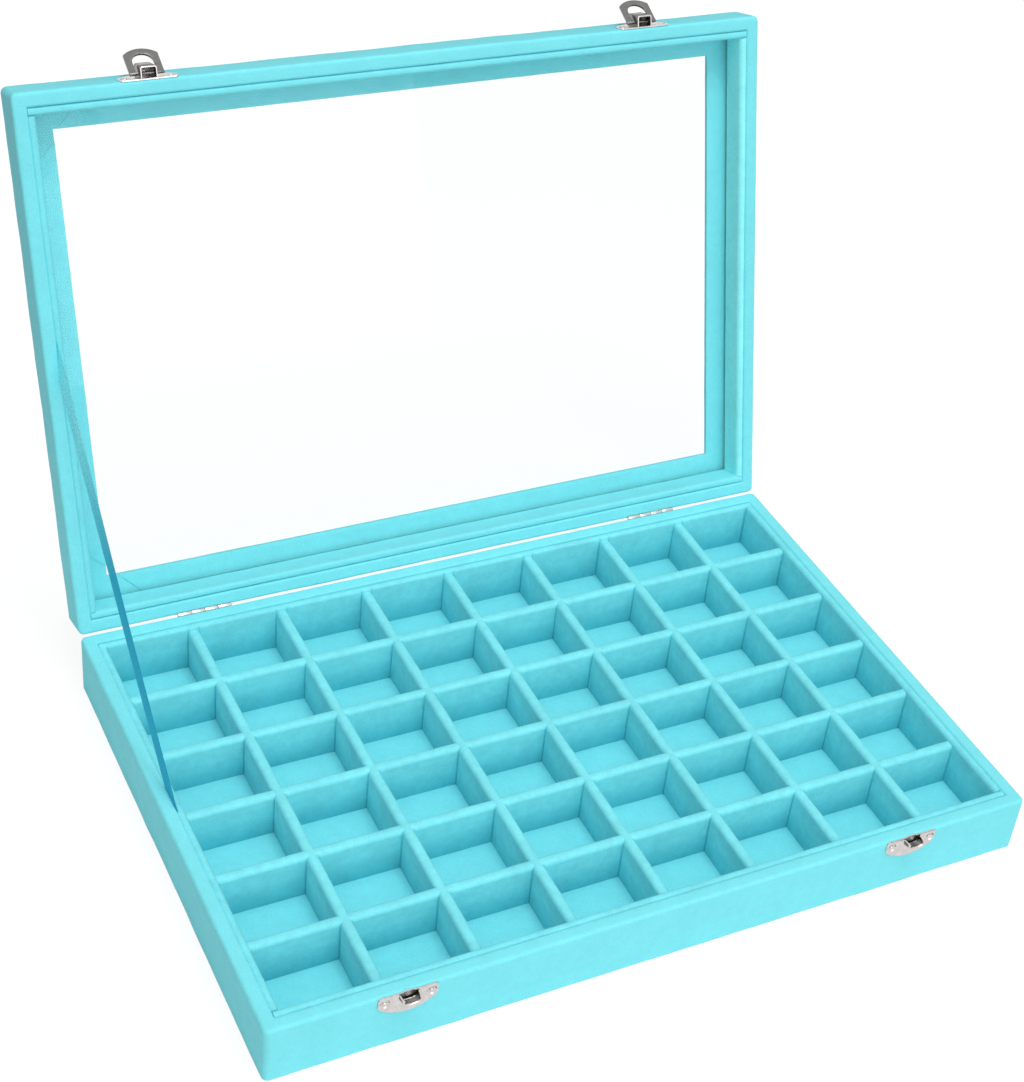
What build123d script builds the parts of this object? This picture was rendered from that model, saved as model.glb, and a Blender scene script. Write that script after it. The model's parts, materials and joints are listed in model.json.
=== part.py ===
from build123d import *
import os
from math import cos, radians, sin

os.makedirs("parts", exist_ok=True)

# Jewelry organizer box: a shallow case covered in velvet, with open cells and a hinged lid with
# a clear window. All sizes are in millimetres. The origin is the middle of the underside of
# the base, X runs along the front edge, Y from front to back, and Z is up.
# The lid is modelled standing open on its ribbon, and the two hasp loops are flipped up.

# Overall sizes
case_length = 350.0
case_depth = 240.0
base_height = 28.5
lid_height = 18.5
lid_opening = 106.0
rim_gap = 0.3

# Boards, cloth and lining
velvet_thickness = 0.8
board_thickness = 5.4
board_corner_radius = 1.7
board_edge_radius = 0.7
bottom_thickness = 3.0
felt_thickness = 0.8
felt_margin = 3.0
felt_corner_radius = 2.5
velvet_hem_height = 0.4
floor_pad_thickness = 1.5
liner_thickness = 3.4
liner_fit = 0.1
liner_drop = 0.4
strip_round_share = 0.38

# Cells
columns = 8
rows = 6
divider_thickness = 5.0
divider_drop = 2.0
divider_fit = 0.1
lap_fit = 0.1

# Window in the lid
window_border = 19.0
window_board_thickness = 1.6
flap_thickness = 0.5
flap_width = 10.0
flap_setback = 5.0
pane_thickness = 2.0
pane_fit = 0.4

# Hinges, hasps and catches stand on the same two lines across the case, which are set a
# little to the left of where they would be even
hardware_inset = 59.0
hardware_shift = -1.5
sheet_metal = 0.6

# Butt hinges on the back
hinge_width = 25.0
leaf_thickness = 0.6
leaf_height = 12.0
knuckle_count = 4
knuckle_radius = 1.2
knuckle_gap = 0.15
knuckle_recess = 0.3
hinge_pin_radius = 0.6
hinge_pin_fit = 0.05
hinge_pin_stub = 0.3
leaf_nail_spread = 16.0
leaf_nail_height = 8.0

# Nails
nail_shank_radius = 0.5
nail_fit = 0.05
nail_length = 5.0
nail_head_radius = 1.5
nail_head_height = 0.5
nail_head_round_share = 0.8
leaf_nail_head_radius = 1.1

# Hasp plate on the lid and catch plate on the base
plate_width = 25.0
plate_end_height = 5.6
plate_middle_height = 10.8
plate_corner_radius = 1.2
hasp_plate_rise = 0.3
catch_plate_drop = 0.4
plate_nail_spread = 19.4
plate_nail_height = 3.5

# Tunnel bracket on the hasp plate, which holds the cross bar of the loop
bracket_width = 7.2
bracket_height = 4.8
bracket_length = 9.6
bracket_start = 0.5
bracket_wall = 0.7
pivot_height = 1.5
pivot_up = 4.0
loop_bar_radius = 0.7
loop_bar_fit = 0.05

# Hasp loop, a flat plate with a round-ended hole
loop_flip = 140.0
loop_width = 14.6
loop_thickness = 1.0
loop_leg_width = 2.8
loop_side_reach = 9.8
loop_reach = 12.5
loop_hole_straight = 5.6
loop_hole_reach = 9.8

# Scoop on the catch plate, which the loop drops over
scoop_top = 1.6
scoop_foot_half_width = 4.8
scoop_foot_depth = 5.0
scoop_waist_out = 0.8
scoop_waist_half_width = 4.2
scoop_waist_depth = 2.8
scoop_out = 4.4
scoop_lip_half_width = 4.1
scoop_lip_depth = 1.9
scoop_wall = 0.6
scoop_roll_radius = 0.5
catch_tab_width = 4.2
catch_tab_height = 0.5

# Ribbon stay on the left
ribbon_width = 9.5
ribbon_thickness = 0.4
ribbon_base_reach = 111.4
ribbon_lid_reach = 127.4
ribbon_tail = 7.0
ribbon_fit = 0.15

# Lines that follow from the sizes above
half_length = case_length / 2
half_depth = case_depth / 2
core_half_length = half_length - velvet_thickness
core_half_depth = half_depth - velvet_thickness
well_half_length = core_half_length - board_thickness
well_half_depth = core_half_depth - board_thickness
lined_half_length = well_half_length - liner_fit - liner_thickness
lined_half_depth = well_half_depth - liner_fit - liner_thickness
board_low = felt_thickness + bottom_thickness
floor_top = board_low + floor_pad_thickness
board_high = base_height - velvet_thickness
window_half_length = half_length - window_border
window_half_depth = half_depth - window_border
window_board_high = lid_height - velvet_thickness
window_board_low = window_board_high - window_board_thickness
pane_high = window_board_low - flap_thickness
pane_low = pane_high - pane_thickness
hinge_y = half_depth
hinge_z = base_height + rim_gap / 2
hardware_x = half_length - hardware_inset


CENTRE, LOW, TOP = Align.CENTER, Align.MIN, Align.MAX


def turned(y, z):
    """A direction in the closed lid, turned to where the open lid has it."""
    angle = radians(lid_opening)
    return y * cos(angle) + z * sin(angle), z * cos(angle) - y * sin(angle)


def opened(y, z):
    """A point of the closed lid, given by its world Y and Z, where the open lid has it."""
    dy, dz = turned(y - hinge_y, z - hinge_z)
    return hinge_y + dy, hinge_z + dz


# The lid's own plane: the middle of its rim, with +Z from the rim towards its window
lid_plane = Plane(
    origin=(0, *opened(0, base_height + rim_gap)), x_dir=(1, 0, 0), z_dir=(0, *turned(0, 1))
)


def lid_face(x, y, z, out):
    """A plane on an upright face of the lid, from lid coordinates, with Y up the face."""
    world_y, world_z = opened(y, base_height + rim_gap + z)
    return Plane(origin=(x, world_y, world_z), x_dir=(-out, 0, 0), z_dir=(0, *turned(out, 0)))


def base_face(x, y, z, out):
    """A plane on an upright face of the base, with Y up the face and Z out of it."""
    return Plane(origin=(x, y, z), x_dir=(-out, 0, 0), z_dir=(0, out, 0))


def fill(plane, x, y, z, mode=Mode.ADD):
    """A box between a low and a high value along each axis of a plane."""
    with Locations(plane.location * Location((sum(x) / 2, sum(y) / 2, sum(z) / 2))):
        Box(x[1] - x[0], y[1] - y[0], z[1] - z[0], mode=mode)


def rod(plane, centre, radius, length, mode=Mode.ADD):
    """A round bar that lies along a plane's X axis."""
    with Locations(plane.location * Location(centre, (0, 90, 0))):
        Cylinder(radius, length, mode=mode)


def span(half):
    """The low and the high value of a length that is centred on zero."""
    return -half, half


def save(piece, label):
    """Name a finished piece and write it to its own file."""
    piece.part.label = label
    export_step(piece.part, f"parts/{label}.step")


def softened_block(plane, inset, low, high, round_bottom):
    """A block with the case's outline, drawn in by an inset, with its long edges rounded."""
    growth = velvet_thickness - inset
    up = Axis((0, 0, 0), plane.z_dir)
    with BuildPart() as block:
        fill(plane, span(half_length - inset), span(half_depth - inset), (low, high))
        fillet(block.edges().filter_by(up), board_corner_radius + growth)
        ends = [-1, 0] if round_bottom else [-1]
        for end in ends:
            fillet(block.faces().sort_by(up)[end].edges(), board_edge_radius + growth)
    return block.part


def nail_bores(faces, spread, up):
    """The holes for pairs of nails, through whatever they are driven into."""
    with BuildPart() as bores:
        for face in faces.values():
            for x in span(spread / 2):
                with Locations(face.location * Location((x, up, 0))):
                    Cylinder(nail_shank_radius + nail_fit, 2 * (nail_length + nail_fit))
    return bores.part


def nails(faces, spread, up, plate, head_radius):
    """Pairs of round-headed nails, one pair on each face, seated on a plate's thickness."""
    with BuildPart() as nail:
        Cylinder(nail_shank_radius, plate + nail_length, align=(CENTRE, CENTRE, TOP))
        Cylinder(head_radius, nail_head_height, align=(CENTRE, CENTRE, LOW))
        fillet(nail.edges().group_by(Axis.Z)[-1], nail_head_height * nail_head_round_share)
    with BuildPart() as group:
        for face in faces.values():
            for x in span(spread / 2):
                with Locations(face.location * Location((x, up, plate))):
                    add(nail.part)
    return group


# Planes on which the metal parts are seated
sides = {"left": hardware_shift - hardware_x, "right": hardware_shift + hardware_x}
catch_faces = {
    side: base_face(x, -half_depth, base_height - catch_plate_drop, -1) for side, x in sides.items()
}
hasp_faces = {side: lid_face(x, -half_depth, hasp_plate_rise, -1) for side, x in sides.items()}
base_hinge_faces = {side: base_face(x, half_depth, hinge_z, 1) for side, x in sides.items()}
lid_hinge_faces = {side: lid_face(x, half_depth, -rim_gap / 2, 1) for side, x in sides.items()}

catch_bores = nail_bores(catch_faces, plate_nail_spread, -plate_nail_height)
hasp_bores = nail_bores(hasp_faces, plate_nail_spread, plate_nail_height)
base_leaf_bores = nail_bores(base_hinge_faces, leaf_nail_spread, -leaf_nail_height)
lid_leaf_bores = nail_bores(lid_hinge_faces, leaf_nail_spread, leaf_nail_height)

with BuildPart() as hinge_recess:
    for face in base_hinge_faces.values():
        rod(face, (0, 0, 0), knuckle_radius + knuckle_recess, hinge_width + 2 * knuckle_recess)

base_core = softened_block(Plane.XY, velvet_thickness, felt_thickness, board_high, False)
lid_core = softened_block(
    lid_plane, velvet_thickness, velvet_thickness, lid_height - velvet_thickness, True
)

# Base: felt, bottom board and four wall boards
with BuildPart() as base_felt:
    fill(
        Plane.XY,
        span(half_length - felt_margin),
        span(half_depth - felt_margin),
        (0, felt_thickness),
    )
    fillet(base_felt.edges().filter_by(Axis.Z), felt_corner_radius)
save(base_felt, "base_felt")

with BuildPart() as bottom_board:
    fill(Plane.XY, span(core_half_length), span(core_half_depth), (felt_thickness, board_low))
    add(base_core, mode=Mode.INTERSECT)
save(bottom_board, "bottom_board")

wall_spans = {
    "front": (span(core_half_length), (-core_half_depth, -well_half_depth)),
    "back": (span(core_half_length), (well_half_depth, core_half_depth)),
    "left": ((-core_half_length, -well_half_length), span(well_half_depth)),
    "right": ((well_half_length, core_half_length), span(well_half_depth)),
}
for side, (x_span, y_span) in wall_spans.items():
    with BuildPart() as base_board:
        fill(Plane.XY, x_span, y_span, (board_low, board_high))
        add(base_core, mode=Mode.INTERSECT)
        if side == "front":
            add(catch_bores, mode=Mode.SUBTRACT)
        if side == "back":
            add(hinge_recess.part, mode=Mode.SUBTRACT)
            add(base_leaf_bores, mode=Mode.SUBTRACT)
    save(base_board, f"base_{side}_board")

# Velvet over the outside of the base and over its rim
with BuildPart() as base_velvet:
    add(softened_block(Plane.XY, 0, velvet_hem_height, base_height, False))
    add(base_core, mode=Mode.SUBTRACT)
    fill(
        Plane.XY,
        span(core_half_length),
        span(core_half_depth),
        (0, felt_thickness + board_edge_radius),
        mode=Mode.SUBTRACT,
    )
    fill(
        Plane.XY,
        span(well_half_length),
        span(well_half_depth),
        (0, base_height),
        mode=Mode.SUBTRACT,
    )
    add(hinge_recess.part, mode=Mode.SUBTRACT)
    add(catch_bores, mode=Mode.SUBTRACT)
    add(base_leaf_bores, mode=Mode.SUBTRACT)
save(base_velvet, "base_velvet")

# Padded floor of the cells
with BuildPart() as floor_pad:
    fill(
        Plane.XY,
        span(well_half_length - liner_fit),
        span(well_half_depth - liner_fit),
        (board_low, floor_top),
    )
save(floor_pad, "floor_pad")

# Ribbon stay: a straight flat ribbon between the groove of the base and that of the lid
ribbon_start = Vector(ribbon_fit - well_half_length, hinge_y - ribbon_base_reach, base_height)
ribbon_end = Vector(ribbon_start.X, *opened(hinge_y - ribbon_lid_reach, base_height + rim_gap))
ribbon_plane = Plane(origin=ribbon_start, x_dir=ribbon_end - ribbon_start, z_dir=(1, 0, 0))
ribbon_length = (ribbon_end - ribbon_start).length
with BuildPart() as ribbon_stay:
    fill(
        ribbon_plane,
        (-ribbon_tail, ribbon_length + ribbon_tail),
        span(ribbon_width / 2),
        (0, ribbon_thickness),
    )
save(ribbon_stay, "ribbon_stay")

with BuildPart() as ribbon_rebate:
    fill(
        ribbon_plane,
        (-ribbon_tail - ribbon_fit, ribbon_length + ribbon_tail + ribbon_fit),
        span(ribbon_width / 2 + ribbon_fit),
        (-ribbon_fit, ribbon_thickness + ribbon_fit),
    )

# Liner strips inside the walls of the base and of the lid: the long ones run from end to end
liner_spans = {
    "front": (span(well_half_length - liner_fit), (liner_fit - well_half_depth, -lined_half_depth)),
    "back": (span(well_half_length - liner_fit), (lined_half_depth, well_half_depth - liner_fit)),
    "left": ((liner_fit - well_half_length, -lined_half_length), span(lined_half_depth - liner_fit)),
    "right": ((lined_half_length, well_half_length - liner_fit), span(lined_half_depth - liner_fit)),
}
liner_heights = {
    "base": (Plane.XY, floor_top, base_height - liner_drop, -1),
    "lid": (lid_plane, liner_drop, pane_low, 0),
}
for body, (plane, low, high, rim) in liner_heights.items():
    up = Axis((0, 0, 0), plane.z_dir)
    for side, (x_span, y_span) in liner_spans.items():
        along = plane.x_dir if side in ("front", "back") else plane.y_dir
        with BuildPart() as liner:
            fill(plane, x_span, y_span, (low, high))
            rim_edges = liner.faces().sort_by(up)[rim].edges()
            fillet(rim_edges.filter_by(Axis((0, 0, 0), along)), liner_thickness * strip_round_share)
            if side == "left":
                add(ribbon_rebate.part, mode=Mode.SUBTRACT)
        save(liner, f"{body}_{side}_liner")

# Cell dividers, slotted into each other half way up
divider_top = base_height - divider_drop
lap_middle = (floor_top + divider_top) / 2
half_divider = divider_thickness / 2
column_pitch = (2 * lined_half_length + divider_thickness) / columns
row_pitch = (2 * lined_half_depth + divider_thickness) / rows
cross_x = [column_pitch * (i - columns / 2) for i in range(1, columns)]
long_y = [row_pitch * (i - rows / 2) for i in range(1, rows)]
slot_half = half_divider + lap_fit


def divider(x_span, y_span, along):
    """A strip that stands on the floor pad, with its top edges rounded."""
    with BuildPart() as strip:
        fill(Plane.XY, x_span, y_span, (floor_top, divider_top))
        top = strip.edges().filter_by(along).group_by(Axis.Z)[-1]
        fillet(top, divider_thickness * strip_round_share)
    return strip.part


for number, y in enumerate(long_y, start=1):
    y_span = (y - half_divider, y + half_divider)
    with BuildPart() as long_divider:
        add(divider(span(lined_half_length - divider_fit), y_span, Axis.X))
        for x in cross_x:
            slot = (x - slot_half, x + slot_half)
            fill(Plane.XY, slot, y_span, (lap_middle, base_height), mode=Mode.SUBTRACT)
    save(long_divider, f"long_divider_{number}")

for number, x in enumerate(cross_x, start=1):
    x_span = (x - half_divider, x + half_divider)
    with BuildPart() as cross_divider:
        add(divider(x_span, span(lined_half_depth - divider_fit), Axis.Y))
        for y in long_y:
            slot = (y - slot_half, y + slot_half)
            fill(Plane.XY, x_span, slot, (0, lap_middle + lap_fit), mode=Mode.SUBTRACT)
    save(cross_divider, f"cross_divider_{number}")

# Lid: four wall boards and the window board
for side, (x_span, y_span) in wall_spans.items():
    with BuildPart() as lid_board:
        fill(lid_plane, x_span, y_span, (velvet_thickness, window_board_low))
        add(lid_core, mode=Mode.INTERSECT)
        if side == "front":
            add(hasp_bores, mode=Mode.SUBTRACT)
        if side == "back":
            add(hinge_recess.part, mode=Mode.SUBTRACT)
            add(lid_leaf_bores, mode=Mode.SUBTRACT)
    save(lid_board, f"lid_{side}_board")

jamb_half_length = window_half_length + velvet_thickness
jamb_half_depth = window_half_depth + velvet_thickness
with BuildPart() as window_board:
    fill(
        lid_plane,
        span(core_half_length),
        span(core_half_depth),
        (window_board_low, window_board_high),
    )
    add(lid_core, mode=Mode.INTERSECT)
    fill(
        lid_plane,
        span(jamb_half_length),
        span(jamb_half_depth),
        (0, lid_height),
        mode=Mode.SUBTRACT,
    )
save(window_board, "window_board")

# Velvet over the rim, the outside, the top border and the jambs of the window
with BuildPart() as lid_filling:
    add(lid_core)
    fill(
        lid_plane,
        span(jamb_half_length),
        span(jamb_half_depth),
        (window_board_low, lid_height),
        mode=Mode.SUBTRACT,
    )

with BuildPart() as lid_velvet:
    add(softened_block(lid_plane, 0, 0, lid_height, True))
    add(lid_filling.part, mode=Mode.SUBTRACT)
    fill(
        lid_plane,
        span(well_half_length),
        span(well_half_depth),
        (0, window_board_low),
        mode=Mode.SUBTRACT,
    )
    fill(
        lid_plane,
        span(window_half_length),
        span(window_half_depth),
        (0, lid_height),
        mode=Mode.SUBTRACT,
    )
    add(hinge_recess.part, mode=Mode.SUBTRACT)
    add(hasp_bores, mode=Mode.SUBTRACT)
    add(lid_leaf_bores, mode=Mode.SUBTRACT)
save(lid_velvet, "lid_velvet")

# The velvet that is turned in round the window and glued flat: four flaps with slanted ends
with BuildPart() as window_flaps:
    with BuildSketch(lid_plane.offset(pane_high)):
        for turn in range(4):
            across, out = window_half_length, window_half_depth
            if turn % 2:
                across, out = out, across
            near = across - flap_setback
            far = near - flap_width
            corners = [
                (-near, out),
                (near, out),
                (far, out + flap_width),
                (-far, out + flap_width),
            ]
            Polygon(corners, rotation=90 * turn, align=None)
    extrude(amount=flap_thickness)
save(window_flaps, "window_flaps")

with BuildPart() as glass_pane:
    fill(
        lid_plane,
        span(well_half_length - pane_fit),
        span(well_half_depth - pane_fit),
        (pane_low, pane_high),
    )
save(glass_pane, "glass_pane")

# Butt hinges: two leaves whose knuckles take turns along a pin
knuckle_length = (hinge_width - (knuckle_count - 1) * knuckle_gap) / knuckle_count
knuckle_middles = [
    (i - (knuckle_count - 1) / 2) * (knuckle_length + knuckle_gap) for i in range(knuckle_count)
]
leaf_clear = knuckle_radius + knuckle_gap


def hinge_leaf(face, way, middles, bores):
    """A hinge leaf on a face whose origin is on the pin: way is 1 for up and -1 for down."""
    with BuildPart() as leaf:
        blade = sorted((way * leaf_clear, way * leaf_height))
        fill(face, span(hinge_width / 2), blade, (0, leaf_thickness))
        for x in middles:
            neck = (x - knuckle_length / 2, x + knuckle_length / 2)
            fill(face, neck, sorted((0, way * leaf_clear)), (0, leaf_thickness))
            rod(face, (x, 0, 0), knuckle_radius, knuckle_length)
        rod(face, (0, 0, 0), hinge_pin_radius + hinge_pin_fit, hinge_width, mode=Mode.SUBTRACT)
        add(bores, mode=Mode.SUBTRACT)
    return leaf


for side, face in base_hinge_faces.items():
    save(hinge_leaf(face, -1, knuckle_middles[0::2], base_leaf_bores), f"{side}_hinge_base_leaf")
    with BuildPart() as hinge_pin:
        rod(face, (0, 0, 0), hinge_pin_radius, hinge_width + 2 * hinge_pin_stub)
    save(hinge_pin, f"{side}_hinge_pin")
for side, face in lid_hinge_faces.items():
    save(hinge_leaf(face, 1, knuckle_middles[1::2], lid_leaf_bores), f"{side}_hinge_lid_leaf")

save(
    nails(
        base_hinge_faces, leaf_nail_spread, -leaf_nail_height, leaf_thickness, leaf_nail_head_radius
    ),
    "hinge_base_nails",
)
save(
    nails(
        lid_hinge_faces, leaf_nail_spread, leaf_nail_height, leaf_thickness, leaf_nail_head_radius
    ),
    "hinge_lid_nails",
)


def latch_plate(face, way, bores):
    """A plate with a straight edge and a bowed one: way is 1 for bowed upwards, -1 for down."""
    half = plate_width / 2
    end = way * plate_end_height
    with BuildPart() as plate:
        with BuildSketch(face) as outline:
            with BuildLine():
                Polyline((-half, end), (-half, 0), (half, 0), (half, end))
                ThreePointArc((half, end), (0, way * plate_middle_height), (-half, end))
            make_face()
            fillet(outline.vertices(), plate_corner_radius)
        extrude(amount=sheet_metal)
        add(bores, mode=Mode.SUBTRACT)
    return plate.part


def bowl_section(plane, half_width, depth, rise):
    """A half oval that hangs from the scoop's top edge, with a straight rise above it."""
    with BuildSketch(plane) as section:
        with Locations((0, -scoop_top)):
            Ellipse(half_width, depth)
            Rectangle(2 * half_width, depth, align=(CENTRE, LOW), mode=Mode.SUBTRACT)
            if rise:
                Rectangle(2 * half_width, rise, align=(CENTRE, LOW))
    return section.sketch


def scoop(face, wall, rise):
    """The scoop's outer shape, or its hollow when a wall is taken off it."""
    stations = (
        (0, scoop_foot_half_width, scoop_foot_depth),
        (scoop_waist_out, scoop_waist_half_width, scoop_waist_depth),
        (scoop_out - wall, scoop_lip_half_width, scoop_lip_depth),
    )
    sections = [
        bowl_section(face.offset(sheet_metal + out), half_width - wall, depth - wall, rise)
        for out, half_width, depth in stations
    ]
    with BuildPart() as solid:
        loft(sections, ruled=True)
    return solid.part


# Catches on the base
for side, face in catch_faces.items():
    with BuildPart() as catch_plate:
        add(latch_plate(face, -1, catch_bores))
        fill(
            face,
            span(catch_tab_width / 2),
            (-sheet_metal, catch_tab_height),
            (0, sheet_metal),
        )
        add(scoop(face, 0, 0))
        add(scoop(face, scoop_wall, scoop_roll_radius), mode=Mode.SUBTRACT)
        roll_middle = (0, -scoop_top, sheet_metal + scoop_out - scoop_wall / 2)
        rod(face, roll_middle, scoop_roll_radius, 2 * scoop_lip_half_width - scoop_wall)
    save(catch_plate, f"{side}_catch_plate")
save(
    nails(catch_faces, plate_nail_spread, -plate_nail_height, sheet_metal, nail_head_radius),
    "catch_nails",
)

# Hasps on the lid: a plate with a tunnel, and a loop whose cross bar turns in the tunnel
roof = sheet_metal + bracket_height
pivot_out = sheet_metal + pivot_height
hole_half = loop_width / 2 - loop_leg_width
flip = radians(loop_flip)
loop_up = Vector(0, *turned(-sin(flip), -cos(flip)))
for side, face in hasp_faces.items():
    with BuildPart() as hasp_plate:
        add(latch_plate(face, 1, hasp_bores))
        tunnel = (bracket_start, bracket_start + bracket_length)
        fill(face, span(bracket_width / 2), tunnel, (0, roof))
        fill(
            face,
            span(bracket_width / 2 - bracket_wall),
            tunnel,
            (sheet_metal, roof - bracket_wall),
            mode=Mode.SUBTRACT,
        )
        bar_hole = loop_bar_radius + loop_bar_fit
        rod(face, (0, pivot_up, pivot_out), bar_hole, bracket_width, mode=Mode.SUBTRACT)
    save(hasp_plate, f"{side}_hasp_plate")

    pivot = face.from_local_coords((0, pivot_up, pivot_out))
    loop_plane = Plane(origin=pivot, x_dir=(1, 0, 0), z_dir=Vector(1, 0, 0).cross(loop_up))
    half = loop_width / 2
    with BuildPart() as hasp_loop:
        with BuildSketch(loop_plane.offset(-loop_thickness / 2)):
            with BuildLine():
                Polyline(
                    (-half, loop_side_reach),
                    (-half, -loop_bar_radius),
                    (half, -loop_bar_radius),
                    (half, loop_side_reach),
                )
                ThreePointArc((half, loop_side_reach), (0, loop_reach), (-half, loop_side_reach))
            make_face()
            with Locations((0, loop_hole_straight)):
                Ellipse(hole_half, loop_hole_reach - loop_hole_straight, mode=Mode.SUBTRACT)
                Rectangle(
                    2 * hole_half,
                    loop_hole_straight + loop_bar_radius,
                    align=(CENTRE, TOP),
                    mode=Mode.SUBTRACT,
                )
        extrude(amount=loop_thickness)
        rod(loop_plane, (0, 0, 0), loop_bar_radius, loop_width)
    save(hasp_loop, f"{side}_hasp_loop")
save(
    nails(hasp_faces, plate_nail_spread, plate_nail_height, sheet_metal, nail_head_radius),
    "hasp_nails",
)
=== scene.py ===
"""Jewelry organizer box: the looks of a velvet case with open cells and a hinged window lid.

Every size is in metres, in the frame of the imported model: X runs along the front edge, Y from
front to back, Z is up. Pieces of the lid are shaped with the lid closed and then swung open.
"""
import json
import math

import bmesh
import bpy
from bpy.props import FloatProperty, FloatVectorProperty, IntProperty, PointerProperty
from mathutils import Matrix, Vector, noise
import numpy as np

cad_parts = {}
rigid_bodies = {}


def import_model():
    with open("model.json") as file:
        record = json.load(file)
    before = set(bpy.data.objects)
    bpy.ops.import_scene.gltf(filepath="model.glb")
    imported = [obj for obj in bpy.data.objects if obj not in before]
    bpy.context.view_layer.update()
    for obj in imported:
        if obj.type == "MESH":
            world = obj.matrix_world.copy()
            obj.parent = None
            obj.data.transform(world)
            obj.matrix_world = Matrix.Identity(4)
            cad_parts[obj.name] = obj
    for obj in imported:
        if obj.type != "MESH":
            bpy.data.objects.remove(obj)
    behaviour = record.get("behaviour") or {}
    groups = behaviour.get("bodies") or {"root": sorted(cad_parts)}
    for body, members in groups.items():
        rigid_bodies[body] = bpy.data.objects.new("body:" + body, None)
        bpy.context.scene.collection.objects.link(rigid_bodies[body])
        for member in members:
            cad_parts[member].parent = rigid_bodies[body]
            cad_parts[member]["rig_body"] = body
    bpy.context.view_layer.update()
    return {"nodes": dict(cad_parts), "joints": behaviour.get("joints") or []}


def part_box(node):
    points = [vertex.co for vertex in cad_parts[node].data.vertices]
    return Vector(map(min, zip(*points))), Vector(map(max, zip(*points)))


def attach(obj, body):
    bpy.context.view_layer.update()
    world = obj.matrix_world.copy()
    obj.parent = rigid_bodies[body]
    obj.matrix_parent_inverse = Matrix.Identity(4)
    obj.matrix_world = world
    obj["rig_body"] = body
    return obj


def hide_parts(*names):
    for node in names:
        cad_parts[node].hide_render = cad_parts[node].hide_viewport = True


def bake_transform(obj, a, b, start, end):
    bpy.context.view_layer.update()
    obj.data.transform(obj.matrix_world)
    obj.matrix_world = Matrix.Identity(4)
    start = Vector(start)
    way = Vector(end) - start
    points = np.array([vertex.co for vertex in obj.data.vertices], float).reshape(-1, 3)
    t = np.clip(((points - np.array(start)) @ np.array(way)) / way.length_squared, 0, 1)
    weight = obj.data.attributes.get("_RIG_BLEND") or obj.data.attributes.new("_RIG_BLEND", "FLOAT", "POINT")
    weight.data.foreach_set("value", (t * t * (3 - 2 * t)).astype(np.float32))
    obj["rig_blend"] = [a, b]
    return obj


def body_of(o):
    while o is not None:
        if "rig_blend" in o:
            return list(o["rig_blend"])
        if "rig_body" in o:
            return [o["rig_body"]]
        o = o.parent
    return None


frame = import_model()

bl_info = {
    "name": "Jewelry Organizer Box",
    "version": (1, 0, 0),
    "blender": (4, 5, 0),
    "location": "View3D > Sidebar > Jewelry Box",
    "description": "Covers and finishes a jewelry organizer box",
    "category": "Add Mesh",
}

MM = 0.001
SIDES = ("left", "right")
WALLS = ("front", "back", "left", "right")
SMOOTH_ANGLE = math.radians(50)
SHARP_ANGLE = math.radians(28)

# Places that follow from the frame
half_length, half_depth, base_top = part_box("base_velvet")[1]
floor_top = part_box("floor_pad")[1].z
divider_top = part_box("long_divider_1")[1].z
lid_joint = next(j for j in frame["joints"] if j["name"] == "lid_hinge")
hinge_point = Vector(lid_joint["pos_m"])
lid_opening = -math.radians(lid_joint["range_deg"][0])
swing_open = (
    Matrix.Translation(hinge_point)
    @ Matrix.Rotation(lid_opening, 4, Vector(lid_joint["axis"]))
    @ Matrix.Translation(-hinge_point)
)
lid_rim = 2 * hinge_point.z - base_top


def length(name, description, default):
    """A size property in metres."""
    return FloatProperty(
        name=name, description=description, default=default, unit="LENGTH", min=0, precision=5
    )


def reaches(name, description, default):
    """A property with two sizes in metres: a half width and a depth."""
    return FloatVectorProperty(
        name=name, description=description, default=default, size=2, unit="LENGTH", min=0, precision=5
    )


def spot(name, description, default):
    """A place or a direction."""
    return FloatVectorProperty(name=name, description=description, default=default, subtype="XYZ")


def tilt(name, description, degrees):
    """An angle property, given in degrees."""
    return FloatProperty(
        name=name, description=description, default=math.radians(degrees), subtype="ANGLE"
    )


def share(name, description, default):
    """A property without a unit."""
    return FloatProperty(name=name, description=description, default=default, min=0, precision=3)


def colour(name, description, default):
    """A colour property."""
    return FloatVectorProperty(
        name=name, description=description, default=default, size=3, subtype="COLOR", min=0, max=1
    )


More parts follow.
